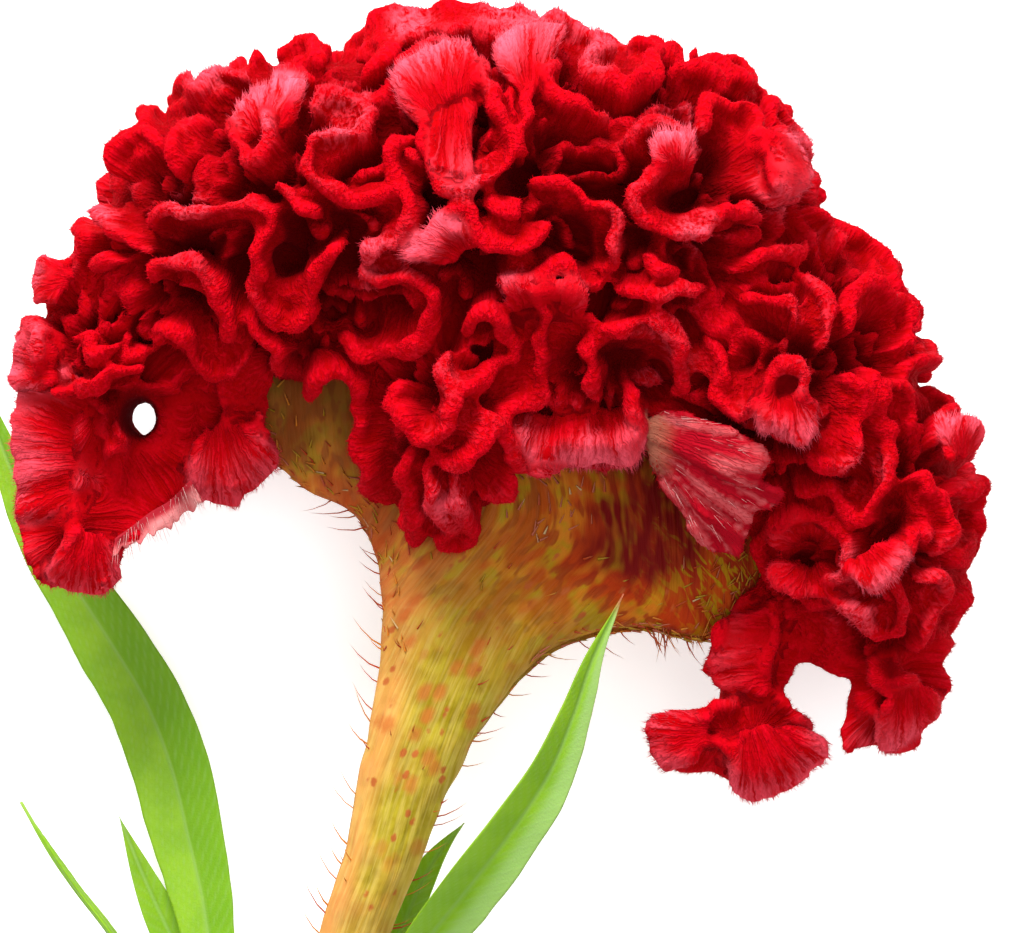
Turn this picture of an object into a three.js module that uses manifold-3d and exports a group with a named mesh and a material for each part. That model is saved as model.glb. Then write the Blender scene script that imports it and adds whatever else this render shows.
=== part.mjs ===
// A cut cockscomb celosia, lying on its back on a flat surface. Millimetres, +Z up.
// +Y points from the cut end of the stalk to the crown, and +Z out of the front of the flower.
// The red crest is one ruffled body: velvety folds that follow lines on a lobed hull and stand
// on a smaller core. The stalk widens into a flat fan that carries the crest. The leaves grow
// from the stalk below the crest.
import * as THREE from "three";
import { mergeVertices } from "three/addons/utils/BufferGeometryUtils.js";
import Module from "manifold-3d";

const wasm = await Module();
wasm.setup();

// Driving dimensions
const MM_PER_PIXEL = 0.15; // the crest is 985 photo pixels and 148 mm wide
const PHOTO_CENTRE = [500, 370]; // photo pixel that lies over the model's working origin
const MID_HEIGHT = 29; // the flower's middle plane above the surface that it lies on
const BACK_PRESS = 2; // folds on the back would reach this far under the surface, and are cut flat
const CLEARANCE = 0.3; // gap kept between two pieces that meet
const FOLD_SPACING = 7.8; // distance between neighbouring folds
const BACK_COARSENESS = 1.15; // folds on the back are this much wider apart
const FOLD_STEP = 4.4; // distance between two sections of a fold
const FOLD_DEPTH = 9.5; // a fold's height above its root
const CORE_DEPTH = 6.5; // the core lies this far under the crest's hull
const CORE_LIFT = 2.5; // the core sits higher than the hull, whose back is pressed flat
const STALK_ROOM = 8; // folds keep this far from the stalk's middle
const FOLD_SHOULDER = 2.2; // a fold's half width near its rim and at its root
const FOLD_ROOT = 3;
const SHOULDER_DROP = 1.7; // the shoulder's depth below the rim
const FOLD_SINK = 1; // some folds end this much lower than others
const SEEDS_PER_LOBE = 420; // places on each lobe where a fold may start
const MOST_SECTIONS = 1400; // sections of all folds together
const MOST_CREST_FACES = 10400; // the crest is thinned out to this many triangles before its last cuts
const FLAP_THICKNESS = 3.4;
const FRILL_HEIGHT = 2.3; // a flap's rim waves this far up and down
const BRACT_LENGTH = 6;
const BRACT_RADIUS = 0.65;
const LEAF_THICKNESS = 0.8;
const OPENING_CENTRE = [143, 418]; // photo pixel of the small opening in the left lobe
const OPENING_RADIUS = 2.3;
const OPENING_STRETCH = 1.25;

// The crest's lobes: centre x, y, z and radii, in the working frame
const LOBES = {
  leftTip: [-64.2, -22.5, 0, 8.7, 10.5, 9],
  leftMiddle: [-58.2, -0.8, 0, 15, 18.3, 15.8],
  leftTop: [-42.8, 18.8, 0, 20.3, 24, 24.8],
  topLeft: [-25.5, 23.6, 0, 30, 26.6, 30.8],
  crown: [-0.8, 23.2, 0, 35.3, 31.2, 33.8],
  topRight: [21.8, 20.2, 0, 27.8, 30, 32.3],
  right: [41.2, -1.5, 0, 24.8, 26.3, 28.5],
  rightLow: [57.8, -22.5, 0, 15.3, 24, 22.5],
  rightTip: [57.8, -42, 0, 10.8, 15.8, 13.5],
  frontLip: [-6.8, -6, 3, 16.5, 20.7, 25.5],
  frontMiddle: [15, 3, 0, 22.5, 18.3, 28.5],
  frontRight: [33, -8.2, 0, 12.8, 17.3, 22.5],
  leftFlap: [-40.2, -8.5, 0, 6.3, 9.3, 8.3],
  innerLeft: [-27, 3, 3, 14, 8.4, 19],
  rightInner: [44.2, -30.8, 0, 9, 10.5, 10.5],
  tailNeck: [37, -41, 0, 6.3, 9.5, 7],
  tail: [36, -54, 0, 10.5, 8, 7.5],
};
// Lobes whose cores are joined
const CORE_LINKS = [
  ["leftTip", "leftMiddle"], ["leftMiddle", "leftTop"], ["leftTop", "topLeft"], ["topLeft", "crown"],
  ["crown", "topRight"], ["topRight", "right"], ["right", "rightLow"], ["rightLow", "rightTip"],
  ["frontLip", "crown"], ["frontMiddle", "topRight"], ["frontRight", "right"], ["leftFlap", "leftMiddle"],
  ["innerLeft", "topLeft"], ["rightInner", "rightLow"], ["tailNeck", "rightInner"], ["tail", "tailNeck"],
];
const LOBE_BLEND = 3.9; // lobes melt together over this distance

// Folds that the photograph shows on the front of the crest, each a line of photo pixels
const FRONT_FOLDS = {
  crownTop: [[389, 93], [400, 75], [421, 60], [444, 54], [468, 53]],
  crownCurl: [[432, 128], [430, 152], [436, 178], [450, 194], [470, 196], [490, 187], [500, 163],
    [503, 134], [495, 110], [487, 84], [478, 62]],
  crownRight: [[500, 50], [522, 62], [536, 90], [528, 118], [518, 142], [524, 166]],
  crownBack: [[396, 18], [430, 26], [470, 16], [510, 24]],
  crownSide: [[342, 30], [372, 34], [386, 56], [362, 76]],
  topFlap: [[508, 36], [540, 28], [575, 34], [600, 52], [596, 78], [618, 92], [638, 80], [646, 58],
    [632, 40]],
  topMiddle: [[560, 66], [556, 98], [580, 118], [612, 122]],
  pitLeft: [[418, 146], [402, 166], [402, 193], [410, 218], [400, 242], [382, 257], [371, 276]],
  browLeft: [[318, 118], [350, 110], [374, 130], [362, 152], [336, 154], [322, 176], [330, 202],
    [355, 214], [382, 206], [392, 186]],
  sideRidge: [[284, 196], [300, 212], [320, 220], [326, 236]],
  mitten: [[404, 278], [415, 256], [436, 232], [455, 223], [470, 230], [481, 246], [496, 258],
    [516, 261], [536, 252], [546, 234]],
  innerHook: [[494, 204], [500, 230], [514, 234], [516, 210]],
  middleFlap: [[530, 196], [556, 194], [584, 200], [603, 214], [612, 240], [610, 268], [596, 280]],
  trapTop: [[497, 296], [521, 288], [545, 279], [570, 284], [594, 298]],
  trapLeg: [[522, 296], [534, 316], [546, 342], [542, 370], [526, 392], [510, 408], [508, 436],
    [520, 462], [548, 470], [580, 465], [610, 468], [632, 452], [636, 424], [628, 398]],
  trapInner: [[574, 318], [584, 344], [602, 368]],
  shoulderRight: [[594, 350], [602, 331], [628, 324], [656, 333], [673, 352], [680, 384], [668, 408]],
  bigRound: [[366, 288], [398, 288], [426, 303], [437, 326], [424, 345], [398, 352], [370, 352],
    [342, 346]],
  ringLow: [[402, 378], [393, 400], [402, 426], [420, 445], [442, 442], [456, 424], [456, 402],
    [438, 386]],
  ringHigh: [[446, 350], [450, 374], [470, 390], [498, 378], [519, 366], [514, 342], [498, 322],
    [476, 324], [459, 338]],
  loopRight: [[484, 402], [488, 428], [474, 448], [452, 462], [430, 458]],
  lipLeft: [[312, 402], [326, 384], [346, 380], [355, 402], [357, 440], [366, 480], [381, 518],
    [396, 540]],
  lipMiddle: [[402, 452], [400, 486], [410, 520], [418, 544]],
  lipInner: [[430, 468], [428, 496], [440, 522], [458, 546], [474, 534], [472, 506], [462, 484]],
  lipRight: [[514, 472], [510, 496], [490, 506]],
  waveHigh: [[150, 232], [172, 218], [196, 230], [222, 220], [250, 212], [274, 226], [280, 250],
    [262, 268], [252, 290], [268, 312], [290, 324], [308, 314], [316, 292], [330, 270], [352, 256]],
  waveLow: [[146, 292], [178, 275], [204, 278], [222, 296], [230, 322], [246, 352]],
  lobeTab: [[246, 112], [246, 148], [256, 176], [274, 172], [282, 144], [280, 110], [292, 82], [322, 80]],
  lobeBack: [[278, 50], [300, 46], [322, 52]],
  cornerShort: [[206, 112], [184, 130], [188, 152], [180, 176]],
  cornerTop: [[166, 92], [184, 84], [198, 94], [224, 76], [250, 72]],
  edgeHigh: [[108, 176], [122, 152], [140, 140], [158, 148]],
  edgeHook: [[80, 222], [90, 242], [80, 264], [60, 282], [38, 286]],
  edgeMiddle: [[96, 206], [116, 222], [136, 243], [150, 260]],
  plateau: [[92, 268], [112, 262], [128, 268]],
  lowWave: [[159, 340], [180, 336], [196, 350], [206, 370], [226, 372], [250, 362]],
  lowBand: [[78, 392], [98, 382], [122, 376], [150, 374]],
  lowRight: [[254, 325], [272, 348], [288, 364], [276, 384]],
  farLeft: [[12, 338], [32, 330], [46, 344], [52, 366], [40, 384]],
  farLeftInner: [[77, 336], [96, 336], [104, 352], [128, 344]],
  leftStrip: [[44, 410], [40, 446], [46, 482], [42, 520], [50, 552]],
  leftStripInner: [[78, 418], [76, 452], [84, 486], [78, 522], [84, 556]],
  rightRing: [[690, 166], [660, 172], [636, 185], [627, 204], [636, 224], [656, 238], [682, 240],
    [702, 230], [718, 216], [738, 222], [758, 226]],
  rightBrow: [[624, 146], [646, 137], [672, 140], [692, 152]],
  ringTop: [[694, 132], [711, 110], [735, 108], [752, 124], [748, 150], [755, 182], [772, 200],
    [790, 196], [794, 172], [786, 146], [768, 130]],
  edgeTopRight: [[668, 66], [700, 76], [728, 92]],
  edgeRight: [[808, 208], [824, 224], [846, 238]],
  creaseHigh: [[724, 284], [744, 270], [768, 259], [790, 252], [806, 240]],
  stepRight: [[796, 268], [806, 286], [818, 302], [820, 326], [816, 350]],
  zigzag: [[734, 306], [764, 302], [782, 308], [786, 330]],
  ringRight: [[848, 338], [850, 304], [868, 289], [892, 296], [906, 316], [910, 340], [896, 354]],
  barLow: [[606, 298], [624, 296], [650, 306], [678, 304], [706, 300]],
  pitRidge: [[640, 262], [652, 281], [672, 284]],
  paleRidge: [[700, 345], [708, 366], [700, 390], [712, 408], [738, 404], [756, 384], [776, 372],
    [794, 386], [800, 410], [786, 432], [758, 430]],
  rimRight: [[798, 462], [822, 464], [844, 450], [854, 424], [854, 398], [838, 380]],
  longLoop: [[790, 503], [820, 494], [848, 518], [868, 505], [880, 470], [881, 440], [873, 408],
    [864, 376]],
  ringSide: [[764, 576], [758, 554], [770, 530], [792, 518], [818, 522], [836, 544], [838, 572],
    [822, 592], [796, 597], [774, 588]],
  serrated: [[846, 572], [862, 580], [878, 566], [892, 548], [905, 532]],
  sideLoop: [[890, 478], [906, 469], [927, 484], [941, 505], [940, 533], [926, 558]],
  lowLoop: [[884, 580], [895, 604], [880, 628], [858, 624], [838, 610], [812, 610]],
  lowLoopRight: [[906, 576], [932, 584], [930, 610], [915, 632], [920, 654]],
  edgeLoop: [[932, 438], [948, 416], [968, 430], [980, 450]],
  edgeLow: [[956, 488], [976, 484], [984, 508]],
  edgeHighRight: [[898, 390], [908, 372], [932, 360], [948, 340]],
  middleRight: [[878, 386], [900, 406], [908, 430]],
  rightSkirtRidge: [[858, 660], [874, 680], [900, 676], [918, 690]],
  tailArm: [[652, 738], [670, 724], [694, 722], [716, 712], [738, 700]],
  tailLow: [[670, 762], [694, 756], [716, 742], [742, 752], [764, 744], [790, 754], [806, 742]],
  tailRight: [[784, 698], [798, 714], [810, 736]],
  neckLeft: [[726, 612], [722, 640], [716, 668], [730, 690]],
  neckRight: [[770, 606], [776, 640], [768, 672], [774, 694]],
};

// Broad flaps seen from their flat side: root line and rim line in photo pixels, the height z of each
// in mm, and how much the root line is frilled too
const FLAPS = {
  tail: {
    root: [[746, 580], [724, 610], [709, 645], [703, 676], [727, 689], [714, 707], [681, 717], [648, 715],
      [641, 736], [655, 757], [682, 776], [720, 772], [738, 796]],
    rim: [[812, 580], [812, 615], [804, 655], [789, 684], [787, 692], [801, 707], [812, 720], [818, 736],
      [822, 752], [820, 771], [802, 786], [789, 791], [768, 801]],
    rootDepth: 1, rimDepth: 3, frill: 1,
  },
  leftFlap: {
    root: [[225, 410], [235, 418], [235, 428], [225, 436]],
    rim: [[262, 400], [276, 432], [276, 466], [255, 494], [226, 506], [198, 492], [176, 462]],
    rootDepth: 2, rimDepth: 9, frill: 0,
  },
  leftBand: {
    root: [[95, 405], [98, 450], [102, 500], [106, 535]],
    rim: [[20, 398], [22, 430], [16, 470], [14, 515], [18, 550], [28, 577], [50, 592], [75, 588], [104, 593],
      [124, 582], [126, 552]],
    rootDepth: 0, rimDepth: 5, frill: 0,
  },
  membrane: {
    root: [[118, 452], [135, 454], [160, 452], [185, 446]],
    rim: [[122, 556], [140, 545], [165, 525], [193, 500], [202, 480]],
    rootDepth: 1, rimDepth: 3, frill: 0,
  },
  paleFlap: {
    root: [[650, 400], [665, 405], [680, 400]],
    rim: [[684, 500], [706, 524], [732, 541], [746, 515], [770, 502], [776, 470], [768, 444]],
    rootDepth: 17, rimDepth: 19, frill: 0,
  },
  rightSkirt: {
    root: [[860, 640], [885, 640], [905, 635]],
    rim: [[832, 742], [842, 765], [866, 752], [892, 748], [912, 728], [940, 712], [956, 680]],
    rootDepth: 2, rimDepth: 5, frill: 0,
  },
};

// The stalk's sections from the cut end up: left and right edge in photo pixels, height z and half
// thickness in mm, and how far the section's middle is bowed up, in pixels
const STALK_SECTIONS = [
  { left: [259, 1350], right: [311, 1347], z: -24.8, thick: 3.9, bow: 0 },
  { left: [263, 1240], right: [318, 1236], z: -19.8, thick: 4.0, bow: 0 },
  { left: [276, 1130], right: [333, 1122], z: -13.6, thick: 4.2, bow: 0 },
  { left: [296, 1030], right: [357, 1038], z: -7.6, thick: 4.4, bow: 0 },
  { left: [320, 928], right: [385, 948], z: -3.2, thick: 4.6, bow: 0 },
  { left: [345, 852], right: [415, 872], z: -1, thick: 4.7, bow: 0 },
  { left: [362, 762], right: [452, 784], z: 0, thick: 4.9, bow: 2 },
  { left: [378, 682], right: [497, 706], z: 0, thick: 5.2, bow: 5 },
  { left: [383, 610], right: [560, 648], z: 0, thick: 5.6, bow: 14 },
  { left: [378, 560], right: [642, 630], z: 0, thick: 6, bow: 30 },
  { left: [352, 512], right: [706, 640], z: 0, thick: 6.2, bow: 56 },
  { left: [300, 484], right: [742, 612], z: 0, thick: 5.6, bow: 84 },
  { left: [258, 440], right: [764, 565], z: 0, thick: 4.6, bow: 108 },
  { left: [244, 388], right: [770, 520], z: 0, thick: 3.6, bow: 116 },
];

// Leaves: centre line in photo pixels with z in mm, from base to tip, the greatest half width in mm,
// where along the blade it lies, the blade's roll in degrees and how deep it is creased
const LEAVES = {
  leaf_right_large: {
    line: [[315, 1112, -12.5], [352, 1052, -8], [395, 985, -3], [431, 933, 1], [468, 885, 5], [511, 827, 8.5],
      [548, 769, 10.5], [572, 711, 12], [592, 653, 13], [622, 592, 13.5]],
    half: 4.5, widest: 0.5, roll: 18, crease: 0.42,
  },
  leaf_right_small: {
    line: [[318, 1060, -10], [348, 1035, -13], [380, 985, -13.5], [402, 932, -12], [419, 892, -10],
      [438, 858, -8], [463, 826, -6.5]],
    half: 2.5, widest: 0.62, roll: -20, crease: 0.3,
  },
  leaf_left_large: {
    line: [[296, 1150, -14.5], [252, 1092, -15.5], [222, 1022, -17], [203, 955, -18.5], [194, 905, -19.5],
      [179, 845, -21], [162, 778, -22.5], [134, 708, -24], [102, 655, -25], [66, 600, -26], [30, 545, -26.8],
      [-2, 480, -27.3], [-30, 410, -27.6], [-55, 335, -27.6]],
    half: 6.1, widest: 0.48, roll: -6, crease: 0.14,
  },
  leaf_left_small: {
    line: [[300, 1205, -17.5], [262, 1140, -20], [222, 1070, -22], [184, 995, -22.5], [153, 933, -22],
      [136, 895, -21.5], [121, 858, -21], [109, 826, -20.5]],
    half: 2.9, widest: 0.66, roll: 10, crease: 0.25,
  },
  leaf_left_edge: {
    line: [[305, 1262, -20.5], [255, 1190, -18], [190, 1080, -17], [140, 995, -17], [97, 936, -18],
      [68, 900, -19], [38, 858, -20], [9, 810, -21]],
    half: 2.2, widest: 0.5, roll: 84, crease: 0.1,
  },
};

const STALK_STATIONS = 24; // sections along the stalk, and points around each
const STALK_AROUND = 20;
const FIRST_BRACTS = 5; // the first section from the cut end that carries bracts
const COLOURS = { crest: 0xb5061c, stalk: 0xb9a03c, leaf: 0x6ba51f };

// A repeatable random draw between 0 and 1
function seededRandom(seed) {
  let state = seed >>> 0;
  return () => {
    state = (Math.imul(state, 1664525) + 1013904223) >>> 0;
    return state / 4294967296;
  };
}

// A photo pixel as a point of the working frame
function fromPhoto([px, py], z = 0) {
  return new THREE.Vector3((px - PHOTO_CENTRE[0]) * MM_PER_PIXEL, (PHOTO_CENTRE[1] - py) * MM_PER_PIXEL, z);
}

// Signed distance, negative inside, to the blended lobes, flattened where the flower lies on its back
function hullDistance(x, y, z) {
  let joined = 1e9;
  for (const [cx, cy, cz, rx, ry, rz] of Object.values(LOBES)) {
    const px = (x - cx) / rx;
    const py = (y - cy) / ry;
    const pz = (z - cz) / rz;
    const near = Math.sqrt(px * px + py * py + pz * pz);
    const slope = Math.sqrt((px / rx) ** 2 + (py / ry) ** 2 + (pz / rz) ** 2) + 1e-9;
    const lobe = (near * (near - 1)) / slope;
    const share = Math.max(LOBE_BLEND - Math.abs(joined - lobe), 0) / LOBE_BLEND;
    joined = Math.min(joined, lobe) - (share * share * LOBE_BLEND) / 4;
  }
  return Math.max(joined, -MID_HEIGHT - BACK_PRESS - z);
}

// The hull's outward normal at a point, its distance there and the distance's slope
function hullNormal(p) {
  const e = 0.05;
  const here = hullDistance(p.x, p.y, p.z);
  const normal = new THREE.Vector3(
    hullDistance(p.x + e, p.y, p.z) - here,
    hullDistance(p.x, p.y + e, p.z) - here,
    hullDistance(p.x, p.y, p.z + e) - here,
  ).divideScalar(e);
  const slope = normal.length() || 1;
  return { normal: normal.divideScalar(slope), here, slope: Math.max(slope, 0.3) };
}

function moveToHull(p) {
  for (let i = 0; i < 3; i++) {
    const { normal, here, slope } = hullNormal(p);
    p.addScaledVector(normal, -here / slope);
  }
  return p;
}

// A front fold's pixel, dropped onto the hull from above
function dropOnHull(pixel) {
  const p = fromPhoto(pixel, 45);
  for (let i = 0; i < 60; i++) {
    const gap = hullDistance(p.x, p.y, p.z);
    if (gap < 0.05 || p.z < -2) break;
    p.z -= Math.max(gap * 0.7, 0.1);
  }
  return moveToHull(p);
}

// Evenly spaced points on a smooth curve through the given ones
function evenPoints(points, step) {
  const curve = new THREE.CatmullRomCurve3(points, false, "centripetal");
  return curve.getSpacedPoints(Math.max(2, Math.round(curve.getLength() / step)));
}

// The stalk as a closed loft of flattened sections, its surface grown outwards by a margin
function stalkRings(margin, sections, around) {
  const pick = (key, i) => new THREE.CatmullRomCurve3(
    STALK_SECTIONS.map((s) => fromPhoto(s[key], s.z)), false, "centripetal").getPoint(i / (sections - 1));
  const numbers = (key) => new THREE.CatmullRomCurve3(
    STALK_SECTIONS.map((s, k) => new THREE.Vector3(k * 10, s[key], 0)), false, "centripetal");
  const thickness = numbers("thick");
  const bows = numbers("bow");
  const rings = [];
  for (let i = 0; i < sections; i++) {
    const share = i / (sections - 1);
    const left = pick("left", i);
    const right = pick("right", i);
    const thick = thickness.getPoint(share).y + margin;
    const bow = bows.getPoint(share).y * MM_PER_PIXEL;
    const across = right.clone().sub(left);
    const half = across.length() / 2 + margin;
    const middle = left.clone().add(right).multiplyScalar(0.5);
    across.normalize();
    const up = new THREE.Vector3(-across.y, across.x, 0);
    if (up.y < 0) up.negate();
    const ring = [];
    for (let k = 0; k < around; k++) {
      const angle = (2 * Math.PI * k) / around;
      const u = Math.cos(angle);
      const rib = 1 + 0.05 * Math.cos(angle * 10) * share;
      ring.push(middle.clone()
        .addScaledVector(across, half * u)
        .addScaledVector(up, bow * (1 - u * u))
        .add(new THREE.Vector3(0, 0, thick * Math.sin(angle) * rib)));
    }
    rings.push(ring);
  }
  if (margin > 0) {
    const last = rings.length - 1;
    rings[last].forEach((p) => { p.y += margin; });
    rings[0].forEach((p) => { p.y -= margin; });
  }
  return rings;
}

// A closed solid from rings of points, capped at both ends
function solidFromRings(rings) {
  const around = rings[0].length;
  const positions = rings.flat().flatMap((p) => [p.x, p.y, p.z]);
  const triangles = [];
  for (let i = 0; i < rings.length - 1; i++) {
    const a = i * around;
    const b = a + around;
    for (let k = 0; k < around; k++) {
      const l = (k + 1) % around;
      triangles.push(a + k, a + l, b + l, a + k, b + l, b + k);
    }
  }
  const end = (rings.length - 1) * around;
  for (let k = 0; k < around / 2 - 1; k++) {
    const across = around - 1 - k;
    triangles.push(k, across - 1, k + 1, end + k, end + k + 1, end + across - 1);
    triangles.push(k, across, across - 1, end + k, end + across - 1, end + across);
  }
  return toSolid(positions, triangles);
}

// A solid from a list of coordinates and triangles, with its faces turned outwards
function toSolid(positions, triangles) {
  const geometry = new THREE.BufferGeometry();
  geometry.setAttribute("position", new THREE.Float32BufferAttribute(positions, 3));
  geometry.setIndex(triangles);
  const merged = mergeVertices(geometry, 1e-4);
  const mesh = new wasm.Mesh({
    numProp: 3,
    vertProperties: merged.attributes.position.array,
    triVerts: new Uint32Array(merged.index.array),
  });
  const solid = new wasm.Manifold(mesh);
  if (solid.volume() >= 0) return solid;
  const flipped = new Uint32Array(merged.index.array).reverse();
  return new wasm.Manifold(new wasm.Mesh({
    numProp: 3,
    vertProperties: merged.attributes.position.array,
    triVerts: flipped,
  }));
}

function toGeometry(solid) {
  const { vertProperties, triVerts, numProp } = solid.getMesh();
  const geometry = new THREE.BufferGeometry();
  const positions = [];
  for (let i = 0; i < vertProperties.length; i += numProp) {
    positions.push(vertProperties[i], vertProperties[i + 1], vertProperties[i + 2]);
  }
  geometry.setAttribute("position", new THREE.Float32BufferAttribute(positions, 3));
  geometry.setIndex([...triVerts]);
  geometry.computeVertexNormals();
  return geometry;
}

// Thins out a solid's faces by joining the ends of its least needed edges
function thinOut(solid, most) {
  const { vertProperties, triVerts, numProp } = solid.getMesh();
  const points = [];
  for (let i = 0; i < vertProperties.length; i += numProp) {
    points.push(new THREE.Vector3(vertProperties[i], vertProperties[i + 1], vertProperties[i + 2]));
  }
  let faces = [];
  for (let i = 0; i < triVerts.length; i += 3) faces.push([triVerts[i], triVerts[i + 1], triVerts[i + 2]]);
  const quadrics = faceQuadrics(points, faces);
  while (faces.length > most) {
    const before = faces.length;
    faces = thinOnce(points, faces, quadrics, most);
    if (before - faces.length < 20) break;
  }
  return toSolid(points.flatMap((p) => [p.x, p.y, p.z]), faces.flat());
}

// Each point's sum of squared plane distances, as the ten terms of a quadratic form
function faceQuadrics(points, faces) {
  const quadrics = points.map(() => new Float64Array(10));
  const normal = new THREE.Vector3();
  const side = new THREE.Vector3();
  for (const [a, b, c] of faces) {
    normal.subVectors(points[b], points[a]).cross(side.subVectors(points[c], points[a]));
    const area = normal.length() / 2;
    if (area < 1e-9) continue;
    normal.divideScalar(2 * area);
    const { x, y, z } = normal;
    const d = -normal.dot(points[a]);
    const terms = [x * x, x * y, x * z, x * d, y * y, y * z, y * d, z * z, z * d, d * d];
    for (const v of [a, b, c]) terms.forEach((t, i) => { quadrics[v][i] += t * area; });
  }
  return quadrics;
}

function quadricError(q, r, { x, y, z }) {
  const s = (i) => q[i] + r[i];
  return s(0) * x * x + 2 * s(1) * x * y + 2 * s(2) * x * z + 2 * s(3) * x + s(4) * y * y
    + 2 * s(5) * y * z + 2 * s(6) * y + s(7) * z * z + 2 * s(8) * z + s(9);
}

// One sweep over the cheapest edges; a changed neighbourhood waits for the next sweep
function thinOnce(points, faces, quadrics, most) {
  const around = points.map(() => []);
  faces.forEach((face, i) => face.forEach((v) => around[v].push(i)));
  const neighbours = (v) => new Set(around[v].flatMap((i) => faces[i]).filter((w) => w !== v));
  const edges = [];
  for (const [a, b, c] of faces) {
    for (const [u, v] of [[a, b], [b, c], [c, a]]) {
      if (u > v) continue;
      const choices = [points[u], points[v], points[u].clone().add(points[v]).multiplyScalar(0.5)];
      const costs = choices.map((p) => quadricError(quadrics[u], quadrics[v], p));
      const least = Math.min(...costs);
      const length = points[u].distanceTo(points[v]);
      edges.push([least + 1e-4 * length, u, v, choices[costs.indexOf(least)].clone()]);
    }
  }
  edges.sort((a, b) => a[0] - b[0]);
  const locked = new Uint8Array(points.length);
  const gone = new Uint8Array(faces.length);
  let left = faces.length;
  for (const [, u, v, place] of edges.slice(0, Math.ceil(edges.length / 5))) {
    if (left <= most) break;
    if (locked[u] || locked[v]) continue;
    const nearU = neighbours(u);
    const nearV = neighbours(v);
    const shared = [...nearU].filter((w) => nearV.has(w));
    if (shared.length !== 2) continue;
    if (turnsOver(points, faces, around, u, v, place)) continue;
    if (turnsOver(points, faces, around, v, u, place)) continue;
    points[u].copy(place);
    for (let i = 0; i < 10; i++) quadrics[u][i] += quadrics[v][i];
    for (const i of around[v]) {
      if (faces[i].includes(u)) {
        gone[i] = 1;
        left -= 1;
      } else {
        faces[i] = faces[i].map((w) => (w === v ? u : w));
      }
    }
    for (const w of [u, v, ...nearU, ...nearV]) locked[w] = 1;
  }
  return faces.filter((face, i) => !gone[i]);
}

// Whether a face round a moved point would turn over
function turnsOver(points, faces, around, moved, other, place) {
  const normalOf = ([a, b, c]) => b.clone().sub(a).cross(c.clone().sub(a));
  return around[moved].some((i) => {
    if (faces[i].includes(other)) return false;
    const before = normalOf(faces[i].map((v) => points[v])).normalize();
    const after = normalOf(faces[i].map((v) => (v === moved ? place : points[v])));
    const size = after.length();
    return size < 1e-6 || before.dot(after) / size < 0.35;
  });
}

// A three.js primitive as a solid
function primitiveSolid(geometry) {
  return toSolid([...geometry.attributes.position.array], [...geometry.index.array]);
}

function joinAll(solids) {
  return wasm.Manifold.union(solids);
}

function largestBody(solid) {
  return solid.decompose().reduce((a, b) => (b.volume() > a.volume() ? b : a));
}

// Distance from a point to the stalk's middle surface
const stalkMiddle = stalkRings(0, STALK_STATIONS, STALK_AROUND).flatMap((ring) =>
  ring.slice(0, STALK_AROUND / 2 + 1).map((p, k) =>
    p.clone().add(ring[(STALK_AROUND - k) % STALK_AROUND]).multiplyScalar(0.5)));

function stalkGap(p) {
  return nearestGap(p, stalkMiddle);
}

// Evenly spread start points on the hull
function hullSeeds(perLobe) {
  const seeds = [];
  for (const [cx, cy, cz, rx, ry, rz] of Object.values(LOBES)) {
    for (let i = 0; i < perLobe; i++) {
      const up = 1 - (2 * (i + 0.5)) / perLobe;
      const turn = i * Math.PI * (3 - Math.sqrt(5));
      const flat = Math.sqrt(1 - up * up);
      const p = new THREE.Vector3(
        cx + rx * flat * Math.cos(turn), cy + ry * flat * Math.sin(turn), cz + rz * up);
      if (hullDistance(p.x, p.y, p.z) > -4) seeds.push(moveToHull(p));
    }
  }
  return seeds;
}

// Folds stand wider apart on the back, which lies on the surface
function spacingAt(p) {
  return FOLD_SPACING * (hullNormal(p).normal.z < -0.3 ? BACK_COARSENESS : 1);
}

function nearestGap(p, others) {
  let best = 1e9;
  for (const q of others) best = Math.min(best, p.distanceToSquared(q));
  return Math.sqrt(best);
}

// Lengthens a fold at its end: each step turns towards the free strip beside its neighbours
function walkFold(line, others, random, most) {
  let bend = random() < 0.5 ? -1 : 1;
  while (line.length < most) {
    const here = line[line.length - 1];
    const before = line[line.length - 2];
    const { normal } = hullNormal(here);
    const ahead = here.clone().sub(before).projectOnPlane(normal).normalize();
    const crowd = [...others, ...line.slice(0, -2)];
    let best = null;
    let bestScore = -1e9;
    for (let k = -4; k <= 4; k++) {
      const p = moveToHull(here.clone().addScaledVector(
        ahead.clone().applyAxisAngle(normal, k * 0.2), FOLD_STEP));
      const gap = nearestGap(p, crowd);
      const room = spacingAt(p);
      if (gap < room * 0.7 || stalkGap(p) < STALK_ROOM) continue;
      const score = -Math.abs(gap - room) + 0.5 * bend * k + random();
      if (score > bestScore) [best, bestScore] = [p, score];
    }
    if (!best) return;
    line.push(best);
    if (random() < 0.22) bend = -bend;
  }
}

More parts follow.
